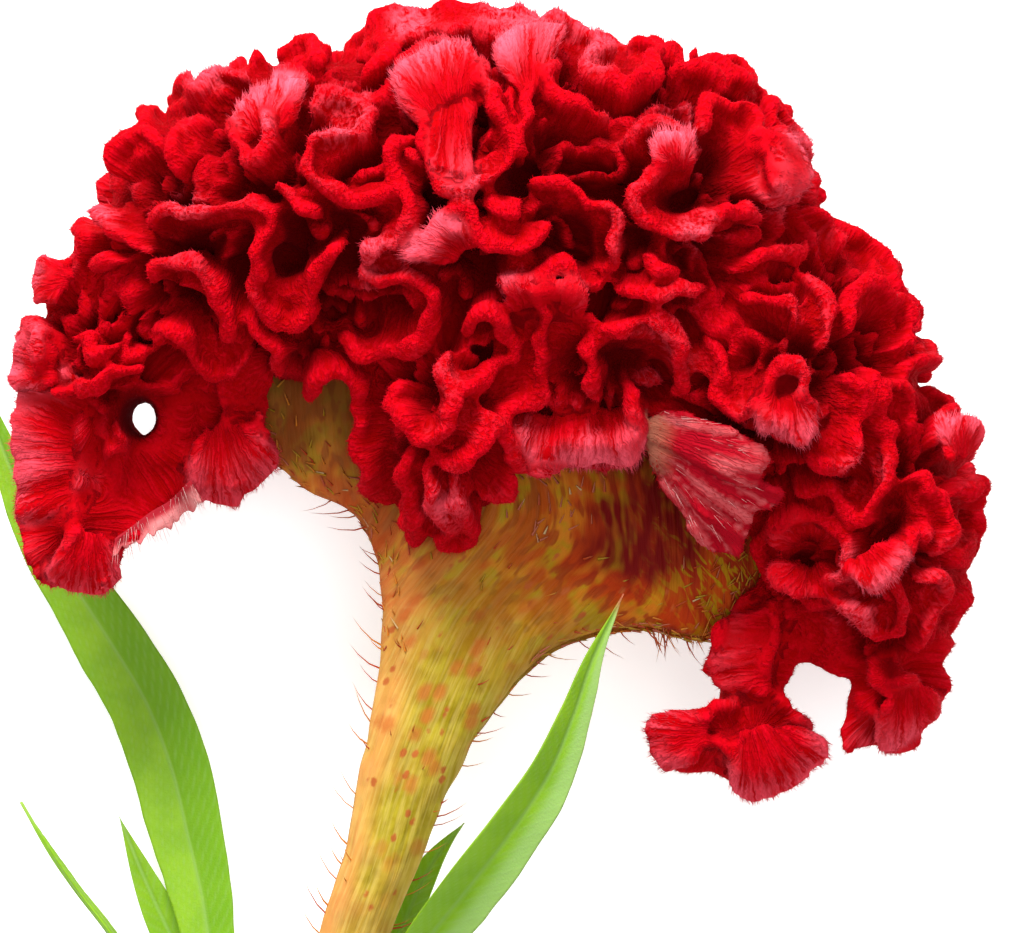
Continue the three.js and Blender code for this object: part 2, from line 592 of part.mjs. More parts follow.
// Fold lines over the whole hull: the traced ones hold their place, and walked ones fill the rest
function growFolds() {
  const random = seededRandom(11);
  const folds = Object.values(FRONT_FOLDS).map((line) => {
    const points = evenPoints(line.map(dropOnHull), FOLD_STEP).map(moveToHull);
    return { points, home: points.map((p) => p.clone()) };
  });
  const filled = folds.flatMap((f) => f.points);
  for (const seed of hullSeeds(SEEDS_PER_LOBE)) {
    if (filled.length > MOST_SECTIONS) break;
    const room = spacingAt(seed);
    if (nearestGap(seed, filled) < room * 0.7 || stalkGap(seed) < STALK_ROOM) continue;
    const { normal } = hullNormal(seed);
    const first = new THREE.Vector3(random() - 0.5, random() - 0.5, random() - 0.5)
      .projectOnPlane(normal).setLength(FOLD_STEP);
    const next = moveToHull(seed.clone().add(first));
    if (nearestGap(next, filled) < room * 0.66) continue;
    const points = [seed, next];
    const most = 8 + Math.floor(random() * 14);
    walkFold(points, filled, random, Math.ceil(most / 2));
    points.reverse();
    walkFold(points, filled, random, most);
    if (points.length < 3) continue;
    folds.push({ points, home: null });
    filled.push(...points);
  }
  for (let round = 0; round < 60; round++) relaxFolds(folds);
  return folds;
}

// One round of spacing: folds push each other apart and stay smooth
function relaxFolds(folds) {
  const points = folds.flatMap((f) => f.points);
  const owner = folds.flatMap((f) => f.points.map((p, i) => [f, i]));
  const push = points.map(() => new THREE.Vector3());
  for (let i = 0; i < points.length; i++) {
    for (let j = i + 1; j < points.length; j++) {
      const square = points[i].distanceToSquared(points[j]);
      if (square > FOLD_SPACING * FOLD_SPACING) continue;
      if (owner[i][0].home && owner[j][0].home) continue;
      if (owner[i][0] === owner[j][0] && owner[j][1] - owner[i][1] <= 2) continue;
      const gap = Math.sqrt(square) + 1e-6;
      const force = (0.8 * (FOLD_SPACING - gap)) / FOLD_SPACING / gap;
      const away = points[i].clone().sub(points[j]).multiplyScalar(force);
      push[i].add(away);
      push[j].sub(away);
    }
  }
  points.forEach((p, i) => {
    const [fold, place] = owner[i];
    const before = fold.points[place - 1];
    const after = fold.points[place + 1];
    for (const next of [before, after]) {
      if (!next) continue;
      const gap = next.distanceTo(p) + 1e-6;
      push[i].add(next.clone().sub(p).multiplyScalar((0.3 * (gap - FOLD_STEP)) / gap));
    }
    if (before && after) push[i].add(before.clone().add(after).multiplyScalar(0.5).sub(p).multiplyScalar(0.3));
    if (fold.home) push[i].add(fold.home[place].clone().sub(p).multiplyScalar(0.3));
  });
  points.forEach((p, i) => {
    p.add(push[i].clampLength(0, 0.7));
    moveToHull(p);
  });
}

// How deep a root can go under the hull before it comes nearer to the other side
function rootDepth(p, normal) {
  let depth = 2;
  let inside = 0;
  while (depth < FOLD_DEPTH) {
    const q = p.clone().addScaledVector(normal, -depth);
    const here = hullDistance(q.x, q.y, q.z);
    if (here > inside - 0.2) break;
    inside = here;
    depth += 0.75;
  }
  return depth;
}

// One fold's solid: its rim follows the fold line, and its root a smoother line near the core
function foldSolid({ points: line }, random) {
  const last = line.length - 1;
  const at = (list, i) => list[Math.min(Math.max(i, 0), last)];
  let calm = line.map((p) => p.clone());
  for (let k = 0; k < 4; k++) {
    calm = calm.map((p, i) => p.clone().multiplyScalar(0.5)
      .addScaledVector(at(calm, i - 1), 0.25).addScaledVector(at(calm, i + 1), 0.25));
  }
  const phase = random() * 2 * Math.PI;
  const sink = random() * FOLD_SINK;
  return solidFromRings(line.map((p, i) => {
    const { normal } = hullNormal(p);
    const along = at(line, i + 1).clone().sub(at(line, i - 1)).normalize();
    const side = new THREE.Vector3().crossVectors(along, normal).normalize();
    const end = i === 0 || i === last;
    const thin = end ? 0.6 : 1;
    const drop = sink + 0.7 * Math.sin(i * 0.9 + phase) + (end ? 2.2 : 0);
    const rim = p.clone().addScaledVector(normal, -drop);
    const shoulder = rim.clone().addScaledVector(normal, -SHOULDER_DROP);
    const calmNormal = hullNormal(calm[i]).normal;
    const root = calm[i].clone().addScaledVector(calmNormal, -rootDepth(calm[i], calmNormal));
    return [
      root.clone().addScaledVector(side, -FOLD_ROOT * thin),
      shoulder.clone().addScaledVector(side, -FOLD_SHOULDER * thin),
      rim,
      shoulder.clone().addScaledVector(side, FOLD_SHOULDER * thin),
      root.clone().addScaledVector(side, FOLD_ROOT * thin),
    ];
  }));
}

// A broad flap: a waved plate from a short root line to a long rim
function flapSolid({ root, rim, rootDepth: rootZ, rimDepth, frill }) {
  const columns = Math.round(1.4 * rim.length);
  const rootCurve = new THREE.CatmullRomCurve3(root.map((q) => fromPhoto(q, rootZ)), false, "centripetal");
  const rimCurve = new THREE.CatmullRomCurve3(rim.map((q) => fromPhoto(q, rimDepth)), false, "centripetal");
  const rows = 4;
  const rings = [];
  for (let c = 0; c <= columns; c++) {
    const share = c / columns;
    const from = rootCurve.getPoint(share);
    const to = rimCurve.getPoint(share);
    const front = [];
    const back = [];
    for (let r = 0; r < rows; r++) {
      const out = r / (rows - 1);
      const p = from.clone().lerp(to, out);
      const edge = Math.max(out * out, frill * (1 - out) * (1 - out));
      p.z += FRILL_HEIGHT * edge * Math.sin(c * 1.15);
      const half = (FLAP_THICKNESS / 2) * (1 - 0.45 * edge);
      front.push(p.clone().add(new THREE.Vector3(0, 0, half)));
      back.unshift(p.clone().add(new THREE.Vector3(0, 0, -half)));
    }
    rings.push([...front, ...back]);
  }
  return solidFromRings(rings);
}

function coreSolid() {
  const cores = {};
  for (const [name, [cx, cy, cz, rx, ry, rz]] of Object.entries(LOBES)) {
    const geometry = new THREE.SphereGeometry(1, 10, 7);
    geometry.scale(...[rx, ry, rz - CORE_LIFT].map((r) => Math.max(r - CORE_DEPTH, r * 0.4)));
    geometry.translate(cx, cy, cz + CORE_LIFT);
    cores[name] = primitiveSolid(geometry);
  }
  return joinAll(CORE_LINKS.map(([a, b]) => wasm.Manifold.hull([cores[a], cores[b]])));
}

// The opening that the photograph shows in the left lobe
function lobeOpening() {
  const geometry = new THREE.CylinderGeometry(OPENING_RADIUS, OPENING_RADIUS, 2 * MID_HEIGHT, 10);
  geometry.rotateX(Math.PI / 2);
  geometry.scale(1, OPENING_STRETCH, 1);
  const { x, y } = fromPhoto(OPENING_CENTRE);
  geometry.translate(x, y, 0);
  return primitiveSolid(geometry);
}

// Everything under the surface that the flower lies on
function surfaceCut() {
  const wide = 400;
  const deep = 40;
  const geometry = new THREE.BoxGeometry(wide, wide, deep);
  geometry.translate(0, 0, -MID_HEIGHT - deep / 2);
  return primitiveSolid(geometry);
}

function crestSolid() {
  const random = seededRandom(5);
  const folds = growFolds().map((fold) => foldSolid(fold, random));
  const flaps = Object.values(FLAPS).map(flapSolid);
  const whole = largestBody(joinAll([coreSolid(), ...folds, ...flaps]));
  const room = joinAll([stalkRoom, surfaceCut(), lobeOpening()]);
  return largestBody(thinOut(whole, MOST_CREST_FACES).subtract(room));
}

// A small curved bract: a three-sided spine with its foot sunk in the stalk
function bractSolid(foot, out, up, length) {
  const side = new THREE.Vector3().crossVectors(out, up).normalize();
  const tilt = new THREE.Vector3().crossVectors(side, out).normalize();
  const stations = [[-1.2, 1, 0], [length * 0.5, 0.75, length * 0.1], [length, 0.4, length * 0.34]];
  const rings = stations.map(([far, wide, rise]) => {
    const centre = foot.clone().addScaledVector(out, far).addScaledVector(tilt, rise);
    return [0, 1, 2].map((k) => {
      const a = (k * 2 * Math.PI) / 3;
      return centre.clone()
        .addScaledVector(side, BRACT_RADIUS * wide * Math.cos(a))
        .addScaledVector(tilt, BRACT_RADIUS * wide * Math.sin(a));
    });
  });
  return solidFromRings(rings);
}

// The stalk with its bracts: a row up each edge, and a few on its faces
function stalkSolid() {
  const random = seededRandom(3);
  const rings = stalkRings(0, STALK_STATIONS, STALK_AROUND);
  const half = STALK_AROUND / 2;
  const onFaces = [3, 7, 13, 17];
  const bracts = [];
  for (let i = FIRST_BRACTS; i < rings.length - 7; i++) {
    for (const spot of [0, half, ...onFaces]) {
      if (onFaces.includes(spot) && (i + spot) % 3 !== 0) continue;
      const k = (spot + Math.round(random() * 2 - 1) + STALK_AROUND) % STALK_AROUND;
      const foot = rings[i][k];
      if (hullDistance(foot.x, foot.y, foot.z) < BRACT_LENGTH) continue;
      const middle = rings[i][0].clone().add(rings[i][half]).multiplyScalar(0.5);
      const out = foot.clone().sub(middle);
      out.z *= 2.2; // the section is flat, so this turns the bracts on its faces outwards
      out.normalize();
      const up = rings[i + 1][k].clone().sub(foot).normalize();
      bracts.push(bractSolid(foot, out, up, BRACT_LENGTH * (0.7 + 0.5 * random())));
    }
  }
  return largestBody(joinAll([solidFromRings(rings), ...bracts]));
}

// A lance-shaped leaf: a thin blade creased along its rib
function leafSolid({ line, half, widest, roll, crease }) {
  const curve = new THREE.CatmullRomCurve3(line.map(([x, y, z]) => fromPhoto([x, y], z)), false, "centripetal");
  const stations = 20;
  const rings = [];
  for (let i = 0; i <= stations; i++) {
    const share = i / stations;
    const centre = curve.getPointAt(share);
    const along = curve.getTangentAt(share);
    const flat = new THREE.Vector3().crossVectors(along, new THREE.Vector3(0, 0, 1)).normalize();
    flat.applyAxisAngle(along, THREE.MathUtils.degToRad(roll));
    const face = new THREE.Vector3().crossVectors(flat, along).normalize();
    const bell = share < widest ? Math.sin((Math.PI / 2) * (share / widest)) ** 1.35
      : Math.cos((Math.PI / 2) * ((share - widest) / (1 - widest))) ** 1.1;
    const wide = Math.max(half * bell, share < 0.3 ? 0.85 : 0.25) * (1 + 0.05 * Math.sin(i * 2.1));
    const thick = LEAF_THICKNESS * (share > 0.95 ? 0.8 : 1);
    const shape = [-1, -0.5, 0, 0.5, 1].map((u) => ({ u, rise: crease * wide * Math.abs(u) ** 1.3 }));
    const top = shape.map(({ u, rise }) => centre.clone().addScaledVector(flat, wide * u)
      .addScaledVector(face, rise + thick / 2));
    const bottom = shape.map(({ u, rise }) => centre.clone().addScaledVector(flat, wide * u)
      .addScaledVector(face, rise - thick / 2)).reverse();
    rings.push([...top, ...bottom]);
  }
  return solidFromRings(rings);
}

function named(name, solid, colour, roughness) {
  const mesh = new THREE.Mesh(
    toGeometry(solid), new THREE.MeshStandardMaterial({ color: colour, roughness, metalness: 0 }));
  mesh.name = name;
  return mesh;
}

const stalkRoom = solidFromRings(stalkRings(CLEARANCE, STALK_STATIONS, STALK_AROUND));
const celosia = new THREE.Group();
celosia.add(named("crest", crestSolid(), COLOURS.crest, 0.85));
celosia.add(named("stalk", stalkSolid(), COLOURS.stalk, 0.6));
for (const [name, leaf] of Object.entries(LEAVES)) {
  const blade = leafSolid(leaf).subtract(stalkRoom).subtract(surfaceCut());
  celosia.add(named(name, largestBody(blade), COLOURS.leaf, 0.5));
}

// The frame's origin is the middle of the bounding box's underside
const bounds = new THREE.Box3().setFromObject(celosia, true);
celosia.position.set(-(bounds.min.x + bounds.max.x) / 2, -(bounds.min.y + bounds.max.y) / 2, -bounds.min.z);

export default celosia;
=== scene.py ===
import itertools
import math

import bpy
import numpy as np
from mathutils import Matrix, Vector
from mathutils.kdtree import KDTree


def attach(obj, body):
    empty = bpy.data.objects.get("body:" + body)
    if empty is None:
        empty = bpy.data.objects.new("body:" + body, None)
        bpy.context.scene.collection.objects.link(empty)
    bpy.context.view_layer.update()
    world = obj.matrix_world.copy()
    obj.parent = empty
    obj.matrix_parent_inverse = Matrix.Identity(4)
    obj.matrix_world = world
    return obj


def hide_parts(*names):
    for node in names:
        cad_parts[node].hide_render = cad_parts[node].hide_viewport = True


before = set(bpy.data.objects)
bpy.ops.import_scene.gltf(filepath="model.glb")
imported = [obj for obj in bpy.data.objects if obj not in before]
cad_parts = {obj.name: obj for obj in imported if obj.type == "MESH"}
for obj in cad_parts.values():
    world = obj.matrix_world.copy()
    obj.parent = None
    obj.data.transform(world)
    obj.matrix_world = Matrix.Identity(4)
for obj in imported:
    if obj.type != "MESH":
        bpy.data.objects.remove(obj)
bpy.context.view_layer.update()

MM = 0.001
MM_PER_PIXEL = 0.15  # the crest is 985 photo pixels and 148 mm wide
PHOTO_CENTRE = (500, 370)  # photo pixel that lies over the working origin
PHOTO_SIZE = (1024, 933)
MID_HEIGHT = 29.0  # of the flower's middle plane above the floor, in mm
ROW_SHIFT = np.array((5.285, 46.732, MID_HEIGHT))  # from the working frame to the frame's own axes, in mm
FLOOR_GAP = 0.02  # least height of the crest over the floor, in mm
STALK_CLEARANCE = 0.3  # the same for the stalk
LEAF_CLEARANCE = 0.05  # and for the leaves

# The crest's lobes: centre x, y, z and radii, in the working frame
LOBES = {
    "leftTip": (-64.2, -22.5, 0, 8.7, 10.5, 9),
    "leftMiddle": (-58.2, -0.8, 0, 15, 18.3, 15.8),
    "leftTop": (-42.8, 18.8, 0, 20.3, 24, 24.8),
    "topLeft": (-25.5, 23.6, 0, 30, 26.6, 30.8),
    "crown": (-0.8, 23.2, 0, 35.3, 31.2, 33.8),
    "topRight": (21.8, 20.2, 0, 27.8, 30, 32.3),
    "right": (41.2, -1.5, 0, 24.8, 26.3, 28.5),
    "rightLow": (57.8, -22.5, 0, 15.3, 24, 22.5),
    "rightTip": (57.8, -42, 0, 10.8, 15.8, 13.5),
    "frontLip": (-6.8, -6, 3, 16.5, 20.7, 25.5),
    "frontMiddle": (15, 3, 0, 22.5, 18.3, 28.5),
    "frontRight": (33, -8.2, 0, 12.8, 17.3, 22.5),
    "leftFlap": (-40.2, -8.5, 0, 6.3, 9.3, 8.3),
    "innerLeft": (-27, 3, 3, 14, 8.4, 19),
    "rightInner": (44.2, -30.8, 0, 9, 10.5, 10.5),
    "tailNeck": (37, -41, 0, 6.3, 9.5, 7),
    "tail": (36, -54, 0, 10.5, 8, 7.5),
}
LOBE_BLEND = 3.9  # how softly the lobes run into one another, in mm

# Folds that the photograph shows on the front of the crest, each a line of photo pixels
FRONT_FOLDS = {
    "crown_top": [(389, 93), (400, 75), (421, 60), (444, 54), (468, 53)],
    "crown_curl": [(432, 128), (430, 152), (436, 178), (450, 194), (470, 196), (490, 187), (500, 163),
        (503, 134), (495, 110), (487, 84), (478, 62)],
    "crown_right": [(500, 50), (522, 62), (536, 90), (528, 118), (518, 142), (524, 166)],
    "crown_ruffle": [(380, 46), (396, 31), (414, 43), (430, 30), (450, 41), (468, 28), (488, 40),
        (508, 31)],
    "crown_back": [(396, 18), (430, 26), (470, 16), (510, 24)],
    "crown_side": [(342, 30), (372, 34), (386, 56), (362, 76)],
    "top_flap": [(508, 36), (540, 28), (575, 34), (600, 52), (596, 78), (618, 92), (638, 80), (646, 58),
        (632, 40)],
    "top_middle": [(560, 66), (556, 98), (580, 118), (612, 122)],
    "pit_left": [(418, 146), (402, 166), (402, 193), (410, 218), (400, 242), (382, 257), (371, 276)],
    "brow_left": [(318, 118), (350, 110), (374, 130), (362, 152), (336, 154), (322, 176), (330, 202),
        (355, 214), (382, 206), (392, 186)],
    "side_ridge": [(284, 196), (300, 212), (320, 220), (326, 236)],
    "mitten": [(404, 278), (415, 256), (436, 232), (455, 223), (470, 230), (481, 246), (496, 258),
        (516, 261), (536, 252), (546, 234)],
    "inner_hook": [(494, 204), (500, 230), (514, 234), (516, 210)],
    "middle_flap": [(530, 196), (556, 194), (584, 200), (603, 214), (612, 240), (610, 268), (596, 280)],
    "trap_top": [(497, 296), (521, 288), (545, 279), (570, 284), (594, 298)],
    "trap_leg": [(522, 296), (534, 316), (546, 342), (542, 370), (526, 392), (510, 408), (508, 436),
        (520, 462), (548, 470), (580, 465), (610, 468), (632, 452), (636, 424), (628, 398)],
    "trap_inner": [(588, 332), (586, 360), (592, 388), (602, 412)],
    "shoulder_right": [(594, 350), (602, 331), (628, 324), (656, 333), (673, 352), (680, 384), (668, 408)],
    "big_round": [(366, 288), (398, 288), (426, 303), (437, 326), (424, 345), (398, 352), (370, 352),
        (342, 346)],
    "ring_low": [(402, 378), (393, 400), (402, 426), (420, 445), (442, 442), (456, 424), (456, 402),
        (438, 386)],
    "ring_high": [(446, 350), (450, 374), (470, 390), (498, 378), (519, 366), (514, 342), (498, 322),
        (476, 324), (459, 338)],
    "loop_right": [(484, 402), (488, 428), (474, 448), (452, 462), (430, 458)],
    "lip_left": [(312, 402), (326, 384), (346, 380), (355, 402), (357, 440), (366, 480), (381, 518),
        (396, 540)],
    "lip_middle": [(402, 452), (400, 486), (410, 520), (418, 544)],
    "lip_inner": [(430, 468), (428, 496), (440, 522), (458, 546), (474, 534), (472, 506), (462, 484)],
    "lip_right": [(514, 472), (510, 496), (490, 506)],
    "wave_high": [(150, 232), (172, 218), (196, 230), (222, 220), (250, 212), (274, 226), (280, 250),
        (262, 268), (252, 290), (268, 312), (290, 324), (308, 314), (316, 292), (330, 270), (352, 256)],
    "wave_low": [(146, 292), (178, 275), (204, 278), (222, 296), (230, 322), (246, 352)],
    "lobe_tab": [(246, 112), (246, 148), (256, 176), (274, 172), (282, 144), (280, 110), (292, 82),
        (322, 80)],
    "lobe_back": [(278, 50), (300, 46), (322, 52)],
    "corner_short": [(206, 112), (184, 130), (188, 152), (180, 176)],
    "corner_top": [(166, 92), (184, 84), (198, 94), (224, 76), (250, 72)],
    "edge_high": [(108, 176), (122, 152), (140, 140), (158, 148)],
    "edge_hook": [(80, 222), (90, 242), (80, 264), (60, 282), (38, 286)],
    "edge_middle": [(96, 206), (116, 222), (136, 243), (150, 260)],
    "plateau": [(92, 268), (112, 262), (128, 268)],
    "low_wave": [(159, 340), (180, 336), (196, 350), (206, 370), (226, 372), (250, 362)],
    "low_band": [(78, 392), (98, 382), (122, 376), (150, 374)],
    "low_right": [(254, 325), (272, 348), (288, 364), (276, 384)],
    "far_left": [(12, 338), (32, 330), (46, 344), (52, 366), (40, 384)],
    "far_left_inner": [(77, 336), (96, 336), (104, 352), (128, 344)],
    "right_ring": [(690, 166), (660, 172), (636, 185), (627, 204), (636, 224), (656, 238), (682, 240),
        (702, 230), (718, 216), (738, 222), (758, 226)],
    "right_brow": [(624, 146), (646, 137), (672, 140), (692, 152)],
    "ring_top": [(694, 132), (711, 110), (735, 108), (752, 124), (748, 150), (755, 182), (772, 200),
        (790, 196), (794, 172), (786, 146), (768, 130)],
    "edge_top_right": [(668, 66), (700, 76), (728, 92)],
    "edge_right": [(808, 208), (824, 224), (846, 238)],
    "crease_high": [(724, 284), (744, 270), (768, 259), (790, 252), (806, 240)],
    "step_right": [(796, 268), (806, 286), (818, 302), (820, 326), (816, 350)],
    "zigzag": [(734, 306), (764, 302), (782, 308), (786, 330)],
    "ring_right": [(848, 338), (850, 304), (868, 289), (892, 296), (906, 316), (910, 340), (896, 354)],
    "bar_low": [(606, 298), (624, 296), (650, 306), (678, 304), (706, 300)],
    "pit_ridge": [(640, 262), (652, 281), (672, 284)],
    "pale_ridge": [(700, 345), (708, 366), (700, 390), (712, 408), (738, 404), (756, 384), (776, 372),
        (794, 386), (800, 410), (786, 432), (758, 430)],
    "rim_right": [(798, 462), (822, 464), (844, 450), (854, 424), (854, 398), (838, 380)],
    "long_loop": [(790, 503), (820, 494), (848, 518), (868, 505), (880, 470), (881, 440), (873, 408),
        (864, 376)],
    "ring_side": [(764, 576), (758, 554), (770, 530), (792, 518), (818, 522), (836, 544), (838, 572),
        (822, 592), (796, 597), (774, 588)],
    "serrated": [(846, 572), (862, 580), (878, 566), (892, 548), (905, 532)],
    "side_loop": [(890, 478), (906, 469), (927, 484), (941, 505), (940, 533), (926, 558)],
    "low_loop": [(884, 580), (895, 604), (880, 628), (858, 624), (838, 610), (812, 610)],
    "low_loop_right": [(906, 576), (932, 584), (930, 610), (915, 632), (920, 654)],
    "edge_loop": [(932, 438), (948, 416), (968, 430), (980, 450)],
    "edge_low": [(956, 488), (976, 484), (984, 508)],
    "edge_high_right": [(898, 390), (908, 372), (932, 360), (948, 340)],
    "middle_right": [(878, 386), (900, 406), (908, 430)],
    "right_skirt_ridge": [(858, 660), (874, 680), (900, 676), (918, 690)],
    "tail_arm": [(652, 738), (670, 724), (694, 722), (716, 712), (738, 700)],
    "tail_low": [(670, 762), (694, 756), (716, 742), (742, 752), (764, 744), (790, 754), (806, 742)],
    "tail_right": [(784, 698), (798, 714), (810, 736)],
    "neck_left": [(726, 612), (722, 640), (716, 668), (730, 690)],
    "neck_right": [(770, 606), (776, 640), (768, 672), (774, 694)],
}

# Broad flaps seen from their flat side, as outlines in photo pixels
FLAP_OUTLINES = {
    "tail": [(704, 640), (812, 640), (789, 684), (801, 707), (830, 752), (770, 805), (738, 800),
             (682, 780), (640, 757), (640, 712), (714, 700)],
    "left_flap": [(176, 400), (262, 400), (280, 432), (280, 470), (255, 500), (226, 510), (170, 490)],
    "left_band": [(10, 398), (100, 398), (128, 552), (124, 598), (50, 598), (8, 540)],
    "membrane": [(118, 452), (185, 446), (202, 480), (165, 530), (122, 560)],
    "right_skirt": [(832, 660), (960, 640), (960, 700), (866, 772), (830, 770)],
}
# Places where the velvet is paler pink, partly its own fringe and partly painted highlight: photo pixel
# and radius in pixels
PALE_PLACES = {
    "crownCurl": (452, 78, 48), "crownTop": (525, 30, 60), "crownRim": (412, 27, 28),
    "crownFlap": (590, 50, 42), "lobeTab": (268, 112, 48), "lobeBrow": (345, 134, 38),
    "cornerTop": (215, 80, 34),
    "leftShoulder": (112, 205, 34), "leftEdge": (52, 262, 34), "farLeft": (36, 342, 28),
    "leftBand": (58, 462, 55), "leftTip": (84, 574, 50), "leftFlap": (236, 468, 44),
    "waveHigh": (196, 214, 30), "pitWall": (378, 262, 30), "curlLow": (462, 184, 34),
    "mitten": (420, 262, 30), "trapTop": (512, 292, 22), "trapLip": (572, 452, 62),
    "lipLow": (450, 500, 34), "rightRing": (668, 154, 38), "ringTop": (770, 196, 38),
    "edgeTop": (800, 150, 34), "rightStep": (690, 236, 28), "paleRidge": (786, 416, 34),
    "barRight": (640, 350, 30), "rightRim": (850, 470, 30), "ringSide": (850, 572, 34),
    "rightEdge": (958, 450, 38), "lowLoop": (850, 612, 30), "tail": (786, 768, 44),
    "tailArm": (660, 738, 30), "rightSkirt": (880, 740, 40),
}
# Dark hollows between the folds: photo pixel and radius in pixels
HOLLOWS = [(431, 208, 17), (418, 236, 12), (340, 300, 20), (300, 262, 18), (570, 264, 16), (524, 188, 14),
           (828, 474, 16), (208, 262, 18), (441, 338, 12), (151, 332, 15), (573, 393, 18), (484, 358, 14),
           (804, 556, 15), (367, 325, 14), (654, 90, 15), (676, 206, 14), (428, 408, 13), (488, 132, 12)]
HOLLOW_DEPTH = 5.0  # mm, in the middle of a hollow
# Places that the folds of the sides leave free, as outlines in photo pixels
FREE_OUTLINES = {
    "fan": [(236, 372), (340, 372), (372, 470), (420, 540), (500, 470), (640, 455), (700, 500), (770, 500),
            (770, 610), (700, 655), (560, 650), (370, 640), (350, 520), (262, 480)],
    "neck": [(690, 600), (862, 600), (862, 830), (620, 830), (620, 690), (690, 690)],
}
OPENING_CENTRE = (143, 418)  # the small opening in the left lobe
OPENING_FADE = 16  # pixels over which its surroundings turn into the rest of the lobe
# Broad thin flaps between a root line and a rim line, both in photo pixels with heights in mm. The
# belly is how far the middle stands out, and the pleats are how deep the rim's waves are, in mm.
CURTAINS = {
    "crown_rim": {
        "root": [(360, 72, 10), (430, 62, 14), (482, 58, 15), (546, 66, 14)],
        "rim": [(366, 34, 7), (384, 21, 8), (400, 15, 9), (430, 12, 10), (464, 12, 11), (492, 16, 11),
                (520, 20, 11), (538, 33, 11)],
        "belly": 0.8, "pleats": 0.6,
    },
    "inner_left": {
        "root": [(234, 346, 15), (224, 390, 10), (228, 436, 8)],
        "rim": [(280, 350, 9), (270, 392, 6), (262, 436, 5)],
        "belly": 0.5, "pleats": 0.3,
    },
    "notch": {
        "root": [(752, 614, 3), (790, 606, 5), (830, 610, 7), (872, 620, 9)],
        "rim": [(772, 650, 2), (790, 661, 2), (812, 664, 2), (836, 672, 3), (868, 690, 5)],
        "belly": 0.5, "pleats": 0.5,
    },
    "hollow": {
        "root": [(534, 318, 28), (562, 312, 28), (592, 318, 28)],
        "rim": [(534, 400, 20), (556, 412, 19), (582, 412, 18), (604, 402, 18)],
        "belly": -2.0, "pleats": 0.3,
    },
}
